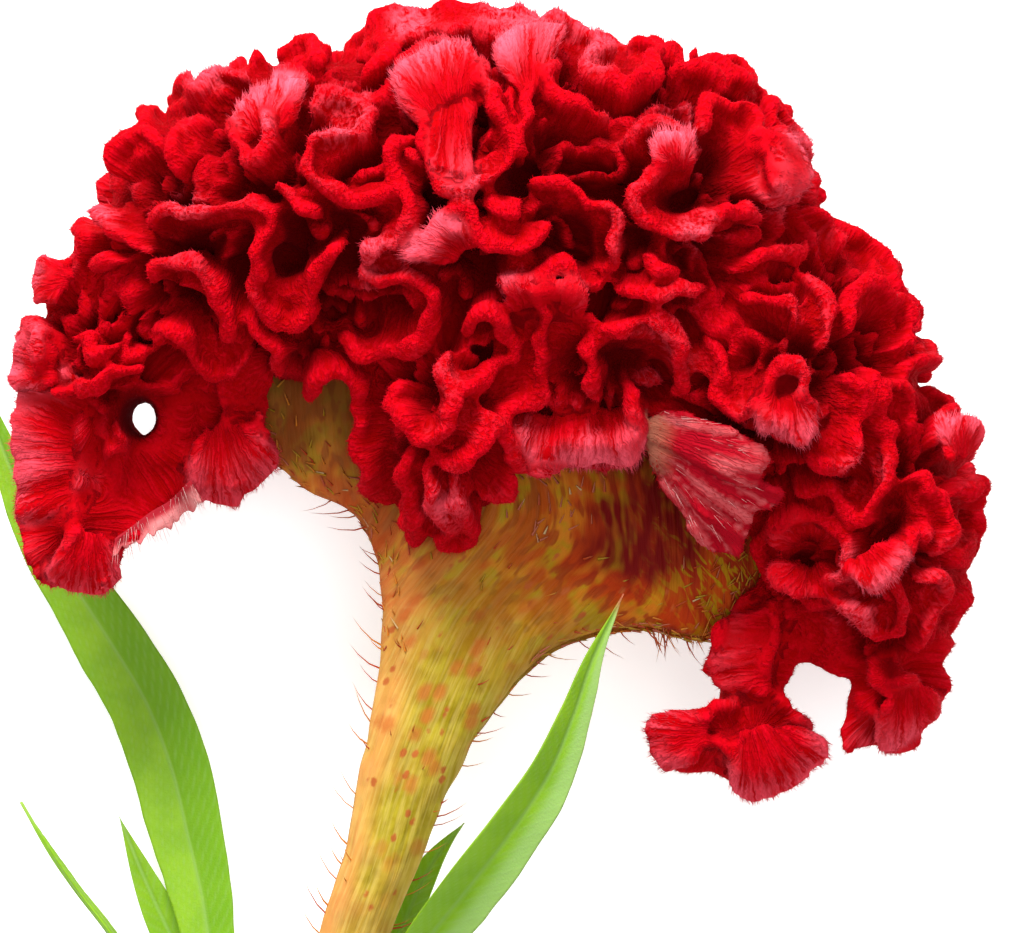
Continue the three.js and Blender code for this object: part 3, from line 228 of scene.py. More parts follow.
# Lips of folds that show their broad lit face: root line and rim line, in photo pixels with heights in
# mm, how far the face stands out in mm and how pale its rim is (pale pink, partly painted highlight)
PETALS = {
    "lip": ([(514, 414, 20), (560, 414, 19), (600, 412, 19), (632, 404, 21)],
            [(503, 440, 22), (510, 462, 20), (528, 472, 19), (548, 470, 19), (566, 463, 19), (590, 467, 19),
             (614, 466, 19), (632, 454, 20), (640, 428, 22)], 3.6, 0.85),
    "crown_curl": ([(440, 146, 30), (438, 124, 30), (452, 110, 30), (474, 104, 29)],
                   [(390, 112, 27), (389, 92, 25), (402, 72, 23), (422, 60, 22), (446, 53, 21),
                    (470, 52, 21), (488, 60, 22)], 1.5, 0.9),
    "crown_flap": ([(522, 112, 28), (530, 108, 28), (538, 104, 27)],
                   [(484, 52, 21), (506, 40, 20), (534, 32, 18), (562, 32, 15), (580, 40, 14)], 1.2, 0.85),
    "right_brow": ([(656, 176, 32), (668, 174, 32), (682, 177, 31)],
                   [(640, 166, 33), (645, 149, 32), (658, 138, 31), (676, 138, 31), (689, 149, 30),
                    (694, 165, 30)], 1.0, 1.0),
    "ring_top": ([(748, 148, 25), (752, 166, 27), (756, 184, 28)],
                 [(782, 132, 20), (798, 150, 19), (804, 174, 19), (800, 196, 21), (780, 210, 25)], 1.4, 0.8),
    "mitten": ([(452, 266, 31), (464, 262, 32), (476, 258, 32)],
               [(404, 284, 30), (408, 262, 31), (424, 240, 32), (446, 226, 33), (466, 228, 33)], 1.6, 0.7),
    "trap_top": ([(512, 318, 29), (546, 312, 29), (578, 316, 29)],
                 [(494, 304, 31), (508, 292, 32), (528, 285, 32), (548, 279, 32), (572, 284, 32),
                  (598, 300, 31)], 1.6, 0.35),
    "pale_ridge": ([(760, 396, 28), (776, 392, 28), (790, 398, 28)],
                   [(736, 424, 28), (752, 434, 28), (776, 440, 28), (796, 450, 27), (810, 436, 27),
                    (812, 414, 27)], 1.6, 0.8),
    "dry_flap": ([(652, 414, 22), (642, 428, 22), (642, 446, 21), (652, 466, 19)],
                 [(708, 414, 26), (750, 438, 26), (776, 460, 26), (764, 488, 25), (792, 510, 23),
                  (760, 526, 20), (750, 560, 16), (718, 560, 15), (700, 536, 16), (674, 508, 18)], 0.8, 0.0),
    "low_curl": ([(444, 98, 26.5), (455, 90, 26), (466, 90, 26)],
                 [(430, 168, 34), (436, 186, 34), (452, 198, 34), (472, 200, 34), (488, 188, 34)], 1.2, 0.3),
    "lobe_tab": ([(262, 150, 26), (276, 146, 26), (290, 140, 27)],
                 [(240, 128, 23), (246, 108, 21), (262, 92, 20), (286, 84, 20), (312, 86, 21),
                  (326, 100, 23)], 1.4, 0.9),
    "edge_left": ([(76, 268, 12), (78, 282, 13), (74, 296, 13)],
                  [(62, 244, 8), (40, 258, 5), (32, 278, 4), (34, 300, 6), (48, 312, 9)], 1.0, 0.7),
    "far_left": ([(62, 346, 13), (64, 366, 13), (60, 386, 13)],
                 [(44, 330, 9), (20, 334, 5), (8, 352, 3), (12, 376, 4), (28, 396, 7)], 1.0, 0.8),
    "left_band": ([(96, 392, 9), (92, 440, 8), (92, 492, 5)],
                  [(72, 364, 11), (38, 368, 7), (13, 388, 4), (9, 424, 4), (10, 464, 4), (12, 510, 4),
                   (30, 546, 5)], 2.0, 0.55),
    "left_tip": ([(84, 524, 9), (92, 530, 9), (104, 530, 8)],
                 [(46, 566, 6), (54, 588, 4), (78, 596, 3), (102, 596, 3), (122, 584, 3), (124, 560, 4)],
                 1.2, 0.5),
    "left_flap": ([(206, 432, 9), (226, 424, 9), (246, 422, 9)],
                  [(180, 484, 4), (198, 503, 4), (226, 510, 4), (256, 501, 4), (276, 478, 5), (284, 448, 6)],
                  2.4, 0.5),
    "tail": ([(736, 732, 8), (756, 724, 9), (780, 724, 8)],
             [(716, 786, 4), (742, 800, 3), (770, 803, 3), (800, 788, 3), (826, 756, 3), (814, 728, 4)],
             1.6, 0.75),
    "tail_arm": ([(712, 716, 9), (706, 730, 9), (702, 744, 9)],
                 [(668, 704, 5), (644, 716, 4), (640, 738, 4), (648, 760, 4), (676, 776, 4)], 1.2, 0.55),
    "serrated": ([(840, 556, 24), (858, 550, 24), (874, 536, 24)],
                 [(838, 582, 25), (856, 590, 25), (878, 582, 25), (896, 562, 25), (904, 540, 24)], 1.4, 0.9),
    "edge_loop": ([(936, 456, 20), (948, 456, 18), (960, 458, 16)],
                  [(924, 440, 19), (930, 420, 18), (950, 412, 16), (970, 424, 12), (980, 446, 10)],
                  1.2, 0.8),
    "ring_lip": ([(786, 564, 12), (804, 568, 12), (822, 564, 13)],
                 [(762, 556, 14), (768, 580, 15), (784, 597, 15), (806, 601, 15), (828, 592, 15),
                  (842, 568, 15)], 1.8, 0.12),
    "ring_brow": ([(786, 546, 13), (804, 541, 13), (822, 546, 14)],
                  [(762, 558, 14), (764, 534, 16), (782, 520, 17), (806, 516, 17), (828, 524, 17),
                   (842, 546, 16)], 1.4, 0.1),
    "neck": ([(782, 606, 6), (774, 650, 6), (770, 692, 6)],
             [(728, 600, 4), (712, 636, 3), (702, 662, 3), (716, 680, 3), (732, 700, 4)], 1.6, 0.2),
    "right_skirt": ([(884, 690, 13), (904, 688, 12), (924, 682, 11)],
                    [(864, 744, 7), (880, 752, 5), (904, 738, 4), (928, 724, 3), (950, 704, 2)], 1.4, 0.6),
}

PETAL_SEED = 300
FLAP_STEP = 0.5  # mm between the points along a flap
DRY_PETAL = "dry_flap"  # this one is papery, with sharp pale ridges
DRY_FIBRES = 170
# The thin papery skin under the left lobe, drawn in the same way over the velvet
MEMBRANE = {
    "root": [(118, 538, 3), (134, 526, 3), (152, 512, 3), (172, 500, 3), (194, 480, 3)],
    "rim": [(116, 554, 2), (156, 535, 2), (204, 498, 2)],
    "belly": 1.5, "pleats": 0.45, "folds": 1.6, "seed": 93, "fibres": 80,
}

# The stalk's sections from the cut end up: left and right edge in photo pixels, height and half
# thickness in mm, and how far the section's middle is bowed up, in pixels
STALK_SECTIONS = [
    ((259, 1350), (311, 1347), -24.8, 3.9, 0),
    ((263, 1240), (318, 1236), -19.8, 4.0, 0),
    ((276, 1130), (333, 1122), -13.6, 4.2, 0),
    ((296, 1030), (357, 1038), -7.6, 4.4, 0),
    ((320, 928), (385, 948), -3.2, 4.6, 0),
    ((345, 852), (415, 872), -1, 4.7, 0),
    ((362, 762), (452, 784), 0, 4.9, 2),
    ((378, 682), (497, 706), 0, 5.2, 5),
    ((383, 610), (560, 648), 0, 5.6, 14),
    ((378, 560), (642, 630), 0, 6, 30),
    ((352, 512), (706, 640), 0, 6.2, 56),
    ((300, 484), (742, 612), 0, 5.6, 84),
    ((258, 440), (764, 565), 0, 4.6, 108),
    ((244, 388), (770, 520), 0, 3.6, 116),
]
STALK_STATIONS = 260
STALK_AROUND = 112
RED_PATCH = (650, 520)  # photo pixel of the dark red patch on the fan
EDGE_BRISTLES = 30  # up each edge of the stalk
FACE_BRISTLES = 60  # between the edges
FAN_BRACTS = 2600  # places drawn on the fan, of which some stay bare
HANGING_BRACTS = 90
HANGING_EDGE = [(655, 626), (744, 600)]  # the line that they hang from, in photo pixels
# An outline on the fan whose bracts are papery, in photo pixels
PAPERY_BITS = [(512, 470), (560, 468), (612, 490), (600, 520), (540, 545), (505, 520)]

# Leaves: centre line in photo pixels with height in mm, greatest half width in mm, where along the
# blade it lies, roll in degrees, depth of the crease and how much the edge waves
LEAVES = {
    "leaf_right_large": {
        "line": [(315, 1112, -12.5), (352, 1052, -8), (395, 985, -3), (431, 933, 1), (468, 885, 5),
                 (511, 827, 8.5), (548, 769, 10.5), (572, 711, 12), (592, 653, 13), (622, 592, 13.5)],
        "half": 4.5, "widest": 0.5, "roll": 18, "crease": 0.42, "wave": 0.35, "seed": 61,
    },
    "leaf_right_small": {
        "line": [(318, 1060, -10), (348, 1035, -13), (380, 985, -13.5), (402, 932, -12),
                 (419, 892, -10), (438, 858, -8), (463, 826, -6.5)],
        "half": 2.5, "widest": 0.62, "roll": -20, "crease": 0.3, "wave": 0.25, "seed": 62,
    },
    "leaf_left_large": {
        "line": [(296, 1150, -14.5), (252, 1092, -15.5), (222, 1022, -17), (203, 955, -18.5),
                 (194, 905, -19.5), (179, 845, -21), (162, 778, -22.5), (134, 708, -24),
                 (102, 655, -25), (66, 600, -26), (30, 545, -26.8), (-2, 480, -27.3),
                 (-30, 410, -27.6), (-55, 335, -27.6)],
        "half": 6.1, "widest": 0.48, "roll": -6, "crease": 0.14, "wave": 0.3, "seed": 63,
    },
    "leaf_left_small": {
        "line": [(300, 1205, -17.5), (262, 1140, -20), (222, 1070, -22), (184, 995, -22.5),
                 (153, 933, -22), (136, 895, -21.5), (121, 858, -21), (109, 826, -20.5)],
        "half": 2.9, "widest": 0.66, "roll": 10, "crease": 0.25, "wave": 0.2, "seed": 64,
    },
    "leaf_left_edge": {
        "line": [(305, 1262, -20.5), (255, 1190, -18), (190, 1080, -17), (140, 995, -17),
                 (97, 936, -18), (68, 900, -19), (38, 858, -20), (9, 810, -21)],
        "half": 2.2, "widest": 0.5, "roll": 84, "crease": 0.1, "wave": 0.15, "seed": 65,
    },
}
PALE_LEAF = "leaf_right_large"  # paler on one half, with a reddish tip
# Painted shade on one half of this leaf
SHADED_LEAF = "leaf_left_large"  # darker on one half
LEAF_STATIONS = 150
LEAF_ACROSS = 28
LEAF_THICKNESS = 0.8  # mm, at the rib


def ease(x, low, high):
    """0 below low, 1 above high, and a smooth step between them."""
    t = np.clip((np.asarray(x, float) - low) / (high - low), 0, 1)
    return t * t * (3 - 2 * t)


def length_of(vectors):
    """The length of each vector."""
    return np.linalg.norm(vectors, axis=-1)


def unit(vectors):
    """The vectors at length 1."""
    vectors = np.asarray(vectors, float)
    return vectors / (length_of(vectors)[..., None] + 1e-12)


def spots(*columns):
    """Points from their three columns, each of them an array or one number."""
    return np.stack([column.ravel() for column in np.broadcast_arrays(*columns)], axis=1)


def keep_over_floor(points, clearance):
    """Lifts points of the working frame to a clearance over the floor, in mm."""
    points[:, 2] = np.maximum(points[:, 2], clearance - MID_HEIGHT)


def from_photo(px, py, z=0.0):
    """A photo pixel as a point of the working frame, in mm."""
    return np.array(((px - PHOTO_CENTRE[0]) * MM_PER_PIXEL, (PHOTO_CENTRE[1] - py) * MM_PER_PIXEL, z))


def photo_line(places):
    """A line of photo pixels, each with or without a height, as points of the working frame."""
    return np.array([from_photo(*place) for place in places])


def to_photo(points):
    """The photo pixels of points of the working frame."""
    x = points[:, 0] / MM_PER_PIXEL + PHOTO_CENTRE[0]
    y = PHOTO_CENTRE[1] - points[:, 1] / MM_PER_PIXEL
    return np.stack((x, y), axis=1)


def noise(points, cell, seed):
    """Smooth noise from -1 to 1 whose bumps are about one cell wide."""
    q = np.asarray(points, float) / cell
    base = np.floor(q).astype(np.int64)
    share = q - base
    share = share * share * (3 - 2 * share)
    total = np.zeros(len(q))
    for corner in itertools.product((0, 1), repeat=3):
        i = base + np.array(corner)
        mixed = i[:, 0] * 73856093 ^ i[:, 1] * 19349663 ^ i[:, 2] * 83492791 ^ seed * 2654435761
        mixed = (mixed ^ (mixed >> 13)) * 1274126177 & 0xFFFFFFFF
        mixed = (mixed ^ (mixed >> 15)) * 2246822519 & 0xFFFFFFFF
        weight = np.prod(np.where(corner, share, 1 - share), axis=1)
        total += weight * (mixed / 2147483648.0 - 1)
    return total


def noise_vectors(points, cell, seed):
    """A vector of three noises at each point."""
    return np.stack([noise(points, cell, seed + axis) for axis in range(3)], axis=1)


def hull(points):
    """Signed distance in mm, negative inside, to the blended lobes."""
    joined = np.full(len(points), 1e9)
    for lobe in LOBES.values():
        radii = np.array(lobe[3:])
        q = (points - np.array(lobe[:3])) / radii
        near = length_of(q)
        gap = near * (near - 1) / (length_of(q / radii) + 1e-9)
        share = np.maximum(LOBE_BLEND - np.abs(joined - gap), 0) / LOBE_BLEND
        joined = np.minimum(joined, gap) - share * share * LOBE_BLEND / 4
    return joined


def hull_slope(points):
    """The hull's distance and its outward direction at each point."""
    step = 0.05
    here = hull(points)
    slope = np.stack([hull(points + step * axis) - here for axis in np.eye(3)], axis=1) / step
    return here, unit(slope)


def onto_hull(points):
    """The points moved onto the hull, with the outward direction that they moved along."""
    gap, up = hull_slope(points)
    return points - up * gap[:, None], up


def in_outline(pixels, outline):
    """Which pixels lie inside a closed outline."""
    inside = np.zeros(len(pixels), bool)
    x, y = pixels[:, 0], pixels[:, 1]
    for (ax, ay), (bx, by) in zip(outline, outline[1:] + outline[:1]):
        crosses = (ay > y) != (by > y)
        at = (bx - ax) * (y - ay) / (by - ay + 1e-9) + ax
        inside ^= crosses & (x < at)
    return inside


def pale_amount(pixels):
    """How pale the velvet is at each photo pixel, 0 to 1."""
    most = np.zeros(len(pixels))
    for px, py, radius in PALE_PLACES.values():
        most = np.maximum(most, 1 - ease(length_of(pixels - (px, py)), 0.25 * radius, 1.15 * radius))
    return most


def clear_of_opening(pixels, radius):
    """0 within a radius of the left lobe's small opening, in photo pixels, and 1 a little beyond it."""
    return ease(length_of(pixels - np.array(OPENING_CENTRE)), radius, radius + OPENING_FADE)


def smooth_curve(points, shares):
    """Points at shares 0 to 1 of a centripetal Catmull-Rom curve through the given points."""
    points = np.asarray(points, float)
    first = 2 * points[0] - points[1]
    last = 2 * points[-1] - points[-2]
    padded = np.vstack((first, points, last))
    result = []
    for share in shares:
        place = min(share * (len(points) - 1), len(points) - 1 - 1e-9)
        k = int(place)
        t = place - k
        p0, p1, p2, p3 = padded[k:k + 4]
        d0, d1, d2 = (max(math.sqrt(math.dist(a, b)), 1e-4) for a, b in ((p0, p1), (p1, p2), (p2, p3)))
        t1 = ((p1 - p0) / d0 - (p2 - p0) / (d0 + d1) + (p2 - p1) / d1) * d1
        t2 = ((p2 - p1) / d1 - (p3 - p1) / (d1 + d2) + (p3 - p2) / d2) * d1
        a = 2 * p1 - 2 * p2 + t1 + t2
        b = -3 * p1 + 3 * p2 - 2 * t1 - t2
        result.append(((a * t + b) * t + t1) * t + p1)
    return np.array(result)


def line_length(line):
    """The length of a line of points."""
    return length_of(np.diff(line, axis=0)).sum()


def run_along(line):
    """The distance along a line at each of its points."""
    return np.concatenate(((0,), np.cumsum(length_of(np.diff(line, axis=0)))))


def from_ends(run, low, high):
    """0 at both ends of a run and 1 away from them."""
    return ease(np.minimum(run, run[-1] - run), low, high)


def even_curve(points, count):
    """Evenly spaced points on the smooth curve through the given ones."""
    fine = smooth_curve(points, np.linspace(0, 1, 40 * len(points)))
    run = run_along(fine)
    wanted = np.linspace(0, run[-1], count)
    return np.stack([np.interp(wanted, run, fine[:, axis]) for axis in range(3)], axis=1)


def make_piece(name, points, faces, material, shades):
    """A mesh from points of the working frame in mm, with shades as values on its points."""
    mesh = bpy.data.meshes.new(name)
    moved = (np.asarray(points, float) + ROW_SHIFT) * MM
    moved[:, 2] = np.maximum(moved[:, 2], FLOOR_GAP * MM)
    faces = np.asarray(faces)
    corners = faces.shape[1]
    mesh.vertices.add(len(moved))
    mesh.vertices.foreach_set("co", moved.astype(np.float32).ravel())
    mesh.loops.add(faces.size)
    mesh.loops.foreach_set("vertex_index", faces.astype(np.int32).ravel())
    mesh.polygons.add(len(faces))
    mesh.polygons.foreach_set("loop_start", np.arange(0, faces.size, corners, dtype=np.int32))
    mesh.update(calc_edges=True)
    mesh.validate()
    mesh.polygons.foreach_set("use_smooth", np.full(len(mesh.polygons), True))
    for shade, values in shades.items():
        values = np.asarray(values, np.float32)
        kind, field = ("FLOAT", "value") if values.ndim == 1 else ("FLOAT_VECTOR", "vector")
        attribute = mesh.attributes.new(shade, kind, "POINT")
        attribute.data.foreach_set(field, values.ravel())
    mesh.materials.append(material)
    piece = bpy.data.objects.new(name, mesh)
    bpy.context.scene.collection.objects.link(piece)
    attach(piece, "root")
    return piece


def spikes(feet, directions, lengths, radii, bend=None):
    """Thin three-sided spikes that end in a point: points, faces and each point's share of the way."""
    count = len(feet)
    directions = unit(directions)
    other = np.where(np.abs(directions[:, 2:]) < 0.8, (0.0, 0.0, 1.0), (1.0, 0.0, 0.0))
    side = unit(np.cross(directions, other))
    front = np.cross(directions, side)
    heights = (0.0, 1.0) if bend is None else (0.0, 0.35, 0.7, 1.0)
    rows = []
    shares = []
    for share in heights:
        middle = feet + directions * (lengths * share)[:, None]
        if bend is not None:
            middle = middle + bend * (lengths * share * share)[:, None]
        width = radii * (1 - share) ** 0.6
        for k in range(3 if share < 1 else 1):
            turn = 2 * math.pi * k / 3
            offset = side * math.cos(turn) + front * math.sin(turn)
            rows.append(middle + offset * width[:, None])
            shares.append(np.full(count, share))
    points = np.stack(rows, axis=1)
    pattern = []
    rings = len(heights) - 1
    for ring, k in itertools.product(range(rings), range(3)):
        a = 3 * ring + k
        b = 3 * ring + (k + 1) % 3
        if ring == rings - 1:
            pattern.append((a, b, 3 * rings))
        else:
            pattern += [(a, b, b + 3), (a, b + 3, a + 3)]
    faces = (np.arange(count) * points.shape[1])[:, None, None] + np.array(pattern)[None]
    return points.reshape(-1, 3), faces.reshape(-1, 3), np.stack(shares, axis=1).ravel()


def make_spikes(name, feet, ways, lengths, radii, bend, material, shades, tipped=True):
    """A piece of spikes, with the shades given once for each spike."""
    points, faces, tips = spikes(feet, ways, lengths, radii, bend)
    shades = {shade: np.repeat(values, len(points) // len(feet)) for shade, values in shades.items()}
    if tipped:
        shades["tip"] = tips
    make_piece(name, points, faces, material, shades)


class Nodes:
    """A small helper for building a material's nodes."""

    def __init__(self, name):
        self.material = bpy.data.materials.new(name)
        self.material.use_nodes = True
        self.tree = self.material.node_tree
        self.shader = self.tree.nodes["Principled BSDF"]

    def put(self, socket, value):
        """Links a socket to another one, or sets its constant value."""
        if isinstance(value, bpy.types.NodeSocket):
            self.tree.links.new(value, socket)
        elif hasattr(socket.default_value, "__len__") and len(socket.default_value) == 4 and len(value) == 3:
            socket.default_value = (*value, 1)
        else:
            socket.default_value = value

    def add(self, kind, **inputs):
        node = self.tree.nodes.new(kind)
        for name, value in inputs.items():
            self.put(node.inputs[name], value)
        return node

    def shade(self, name, output="Fac"):
        """One of the shades that the piece's points carry."""
        node = self.tree.nodes.new("ShaderNodeAttribute")
        node.attribute_name = name
        return node.outputs[output]

    def noise(self, places, scale=1.0, detail=2.0, distortion=0.0):
        inputs = {"Vector": places, "Scale": scale, "Detail": detail, "Distortion": distortion}
        return self.add("ShaderNodeTexNoise", **inputs).outputs["Fac"]

    def grain(self, size_mm, detail=2.0):
        """Noise with grains of a size in mm, 0 to 1."""
        places = self.tree.nodes.new("ShaderNodeTexCoord").outputs["Object"]
        return self.noise(places, 1 / (size_mm * MM), detail)

    def strands(self, size_mm, detail=2.0, shift=0.0):
        """Noise that runs along the velvet's strands, 0 to 1."""
        places = self.shade("strand", "Vector")
        mapping = self.add("ShaderNodeMapping", Vector=places, Location=(shift, 0, 0))
        return self.noise(mapping.outputs[0], 1 / (size_mm * MM), detail)

    def growth(self, across_mm, along_mm):
        """Places on the stalk in cells of a size across it and along it."""
        places = self.shade("growth", "Vector")
        scale = (1 / across_mm, 1 / along_mm, 1)
        return self.add("ShaderNodeMapping", Vector=places, Scale=scale).outputs[0]

    def dots(self, across_mm, along_mm, low, high):
        """Oval dots with uneven outlines, one to a cell."""
        cells = self.add("ShaderNodeTexVoronoi", Vector=self.growth(across_mm, along_mm), Scale=1.0)
        uneven = self.times(self.grain(0.7, 1.0), 0.16)
        return self.span(self.math("SUBTRACT", cells.outputs["Distance"], uneven), high, low)

    def math(self, operation, a, b):
        node = self.tree.nodes.new("ShaderNodeMath")
        node.operation = operation
        self.put(node.inputs[0], a)
        self.put(node.inputs[1], b)
        return node.outputs[0]

    def times(self, a, b):
        return self.math("MULTIPLY", a, b)

    def plus(self, a, b):
        return self.math("ADD", a, b)

    def mix(self, share, a, b):
        """One colour at share 0 and the other at share 1."""
        node = self.tree.nodes.new("ShaderNodeMix")
        node.data_type = "RGBA"
        self.put(node.inputs["Factor"], share)
        self.put(node.inputs[6], a)
        self.put(node.inputs[7], b)
        return node.outputs[2]

    def span(self, value, low, high, to_low=0.0, to_high=1.0):
        """A smooth step between two limits, from one value to another."""
        node = self.tree.nodes.new("ShaderNodeMapRange")
        node.interpolation_type = "SMOOTHSTEP"
        for k, x in enumerate((value, low, high, to_low, to_high)):
            self.put(node.inputs[k], x)
        return node.outputs[0]

    def bump(self, height, distance_mm, strength):
        node = self.add("ShaderNodeBump", Height=height, Distance=distance_mm * MM, Strength=strength)
        self.put(self.shader.inputs["Normal"], node.outputs[0])

    def finish(self, colour, **constants):
        """The material, with its colour and the shader's constant values."""
        self.put(self.shader.inputs["Base Color"], colour)
        for name, value in constants.items():
            self.put(self.shader.inputs[name.replace("_", " ")], value)
        return self.material


# Colours, as linear red, green and blue
# The walls' red, darker than the rims' red by painted shade
CREST_WALL_RED_SHADED = (0.27, 0.0002, 0.0005)
CREST_RED = (0.42, 0.0003, 0.0025)
# Painted highlight on the rims of the folds and on the tips of their hairs
CREST_PAINTED_HIGHLIGHT = (0.60, 0.0016, 0.013)
# Pale pink of the velvet's fringe, also painted highlight on rims that face the light
CREST_PINK_AND_HIGHLIGHT = (0.82, 0.10, 0.15)
# Painted shade for the hollows between the folds
CREST_PAINTED_SHADE = (0.07, 0.0001, 0.0003)
DRY_RED = (0.33, 0.003, 0.011)
DRY_PINK = (0.62, 0.12, 0.13)
DRY_WHITE = (0.78, 0.46, 0.43)
DRY_BEIGE = (0.40, 0.15, 0.09)
DRY_ROSE = (0.34, 0.012, 0.022)


def velvet_material():
    """Red velvet with fine strands, painted highlights and pale pink on the rims, painted shade on the walls
    and in the hollows, and the papery look of the dry flap.
    """
    n = Nodes("crest_velvet")
    rim = n.shade("rim")
    pale = n.shade("pale")
    even = n.shade("even")
    fuzz = n.grain(0.5, 3.0)
    fine = n.span(even, 0.0, 1.0, 0.5, n.span(n.strands(0.55), 0.3, 0.7))
    wide = n.span(even, 0.0, 1.0, 0.5, n.span(n.strands(1.7, 1.0, 0.3), 0.3, 0.7))
    # Painted shade on the walls, which are darker than the rims, and painted highlights in streaks along the
    # rims
    red = n.mix(n.times(rim, 0.9), CREST_WALL_RED_SHADED, CREST_RED)
    lit = n.times(fine, n.span(fuzz, 0.35, 0.65, 0.4, 0.85))
    red = n.mix(n.times(lit, n.span(rim, 0.0, 1.0, 0.5, 1.0)), red, CREST_PAINTED_HIGHLIGHT)
    broken = n.plus(n.times(fine, 0.6), n.times(wide, 0.5))
    # Pale pink on the rims, partly the velvet's own fringe and partly painted highlight
    pink = n.times(pale, n.span(n.plus(broken, n.times(pale, 0.5)), 0.35, 1.1))
    colour = n.mix(pink, red, CREST_PINK_AND_HIGHLIGHT)
    # Painted shade in the hollows, darker the deeper a point lies under the hull
    colour = n.mix(n.shade("deep"), colour, CREST_PAINTED_SHADE)
    papery = n.mix(n.times(n.shade("ridge"), n.span(fine, 0.0, 1.0, 0.5, 0.8)), DRY_RED, DRY_PINK)
    papery = n.mix(n.times(n.shade("root"), 0.8), papery, DRY_BEIGE)
    colour = n.mix(n.shade("dry"), colour, papery)
    n.bump(n.plus(n.times(fuzz, 0.7), n.times(fine, 1.2)), 0.24, 0.75)
    return n.finish(
        colour,
        Roughness=0.9,
        Specular_IOR_Level=0.02,
        Sheen_Weight=0.1,
        Sheen_Roughness=0.45,
        Sheen_Tint=(1.0, 0.01, 0.04, 1.0),
    )


def fuzz_material():
    """The velvet's hairs, brighter at their tips: painted highlight at the tips on the rims, pink tips on
    pale rims and painted shade in the hollows.
    """
    n = Nodes("crest_fuzz")
    tip = n.shade("tip")
    # Painted highlight on the hair tips at the rims
    red = n.mix(n.times(tip, n.shade("rim")), CREST_RED, CREST_PAINTED_HIGHLIGHT)
    # Pink hair tips on the pale rims, partly painted highlight
    colour = n.mix(n.times(n.shade("pale"), n.span(tip, 0.0, 0.9, 0.75, 1.0)), red, CREST_PINK_AND_HIGHLIGHT)
    # Painted shade in the hollows, on the hairs too
    colour = n.mix(n.shade("deep"), colour, CREST_PAINTED_SHADE)
    return n.finish(
        colour,
        Roughness=0.8,
        Specular_IOR_Level=0.03,
        Sheen_Weight=0.1,
        Sheen_Tint=(1.0, 0.08, 0.12, 1.0),
    )


def papery_material():
    """Thin dry skin, pink to white, with a rose root."""
    n = Nodes("papery")
    colour = n.mix(n.shade("ridge"), DRY_PINK, DRY_WHITE)
    colour = n.mix(n.shade("root"), colour, DRY_ROSE)
    n.bump(n.grain(0.4, 3.0), 0.2, 0.6)
    return n.finish(colour, Roughness=0.75, Specular_IOR_Level=0.08)


STALK_GREEN = (0.37, 0.29, 0.018)
STALK_OLIVE = (0.26, 0.19, 0.006)
STALK_ORANGE = (0.55, 0.24, 0.06)
STALK_LIGHT = (0.62, 0.46, 0.13)
STALK_SPECK = (0.36, 0.08, 0.018)
STALK_BLOT = (0.42, 0.11, 0.02)
# The dark red patch's colour, also used as painted shade under the crest
STALK_RED = (0.13, 0.002, 0.002)
FAN_OLIVE = (0.31, 0.17, 0.002)
FAN_OCHRE = (0.48, 0.14, 0.008)
FAN_RUST = (0.35, 0.03, 0.002)
FAN_STROKE = (0.24, 0.016, 0.003)
# Painted shade on the fan under the crest
FAN_PAINTED_SHADOW = (0.12, 0.035, 0.004)
BRACT_PALE = (0.52, 0.36, 0.17)
BRACT_PINK = (0.38, 0.09, 0.05)
LEAF_GREEN = (0.20, 0.37, 0.007)
LEAF_DARK = (0.165, 0.325, 0.006)
LEAF_SHADED = (0.10, 0.25, 0.004)
LEAF_PALE = (0.24, 0.38, 0.11)
LEAF_TIP = (0.36, 0.10, 0.05)


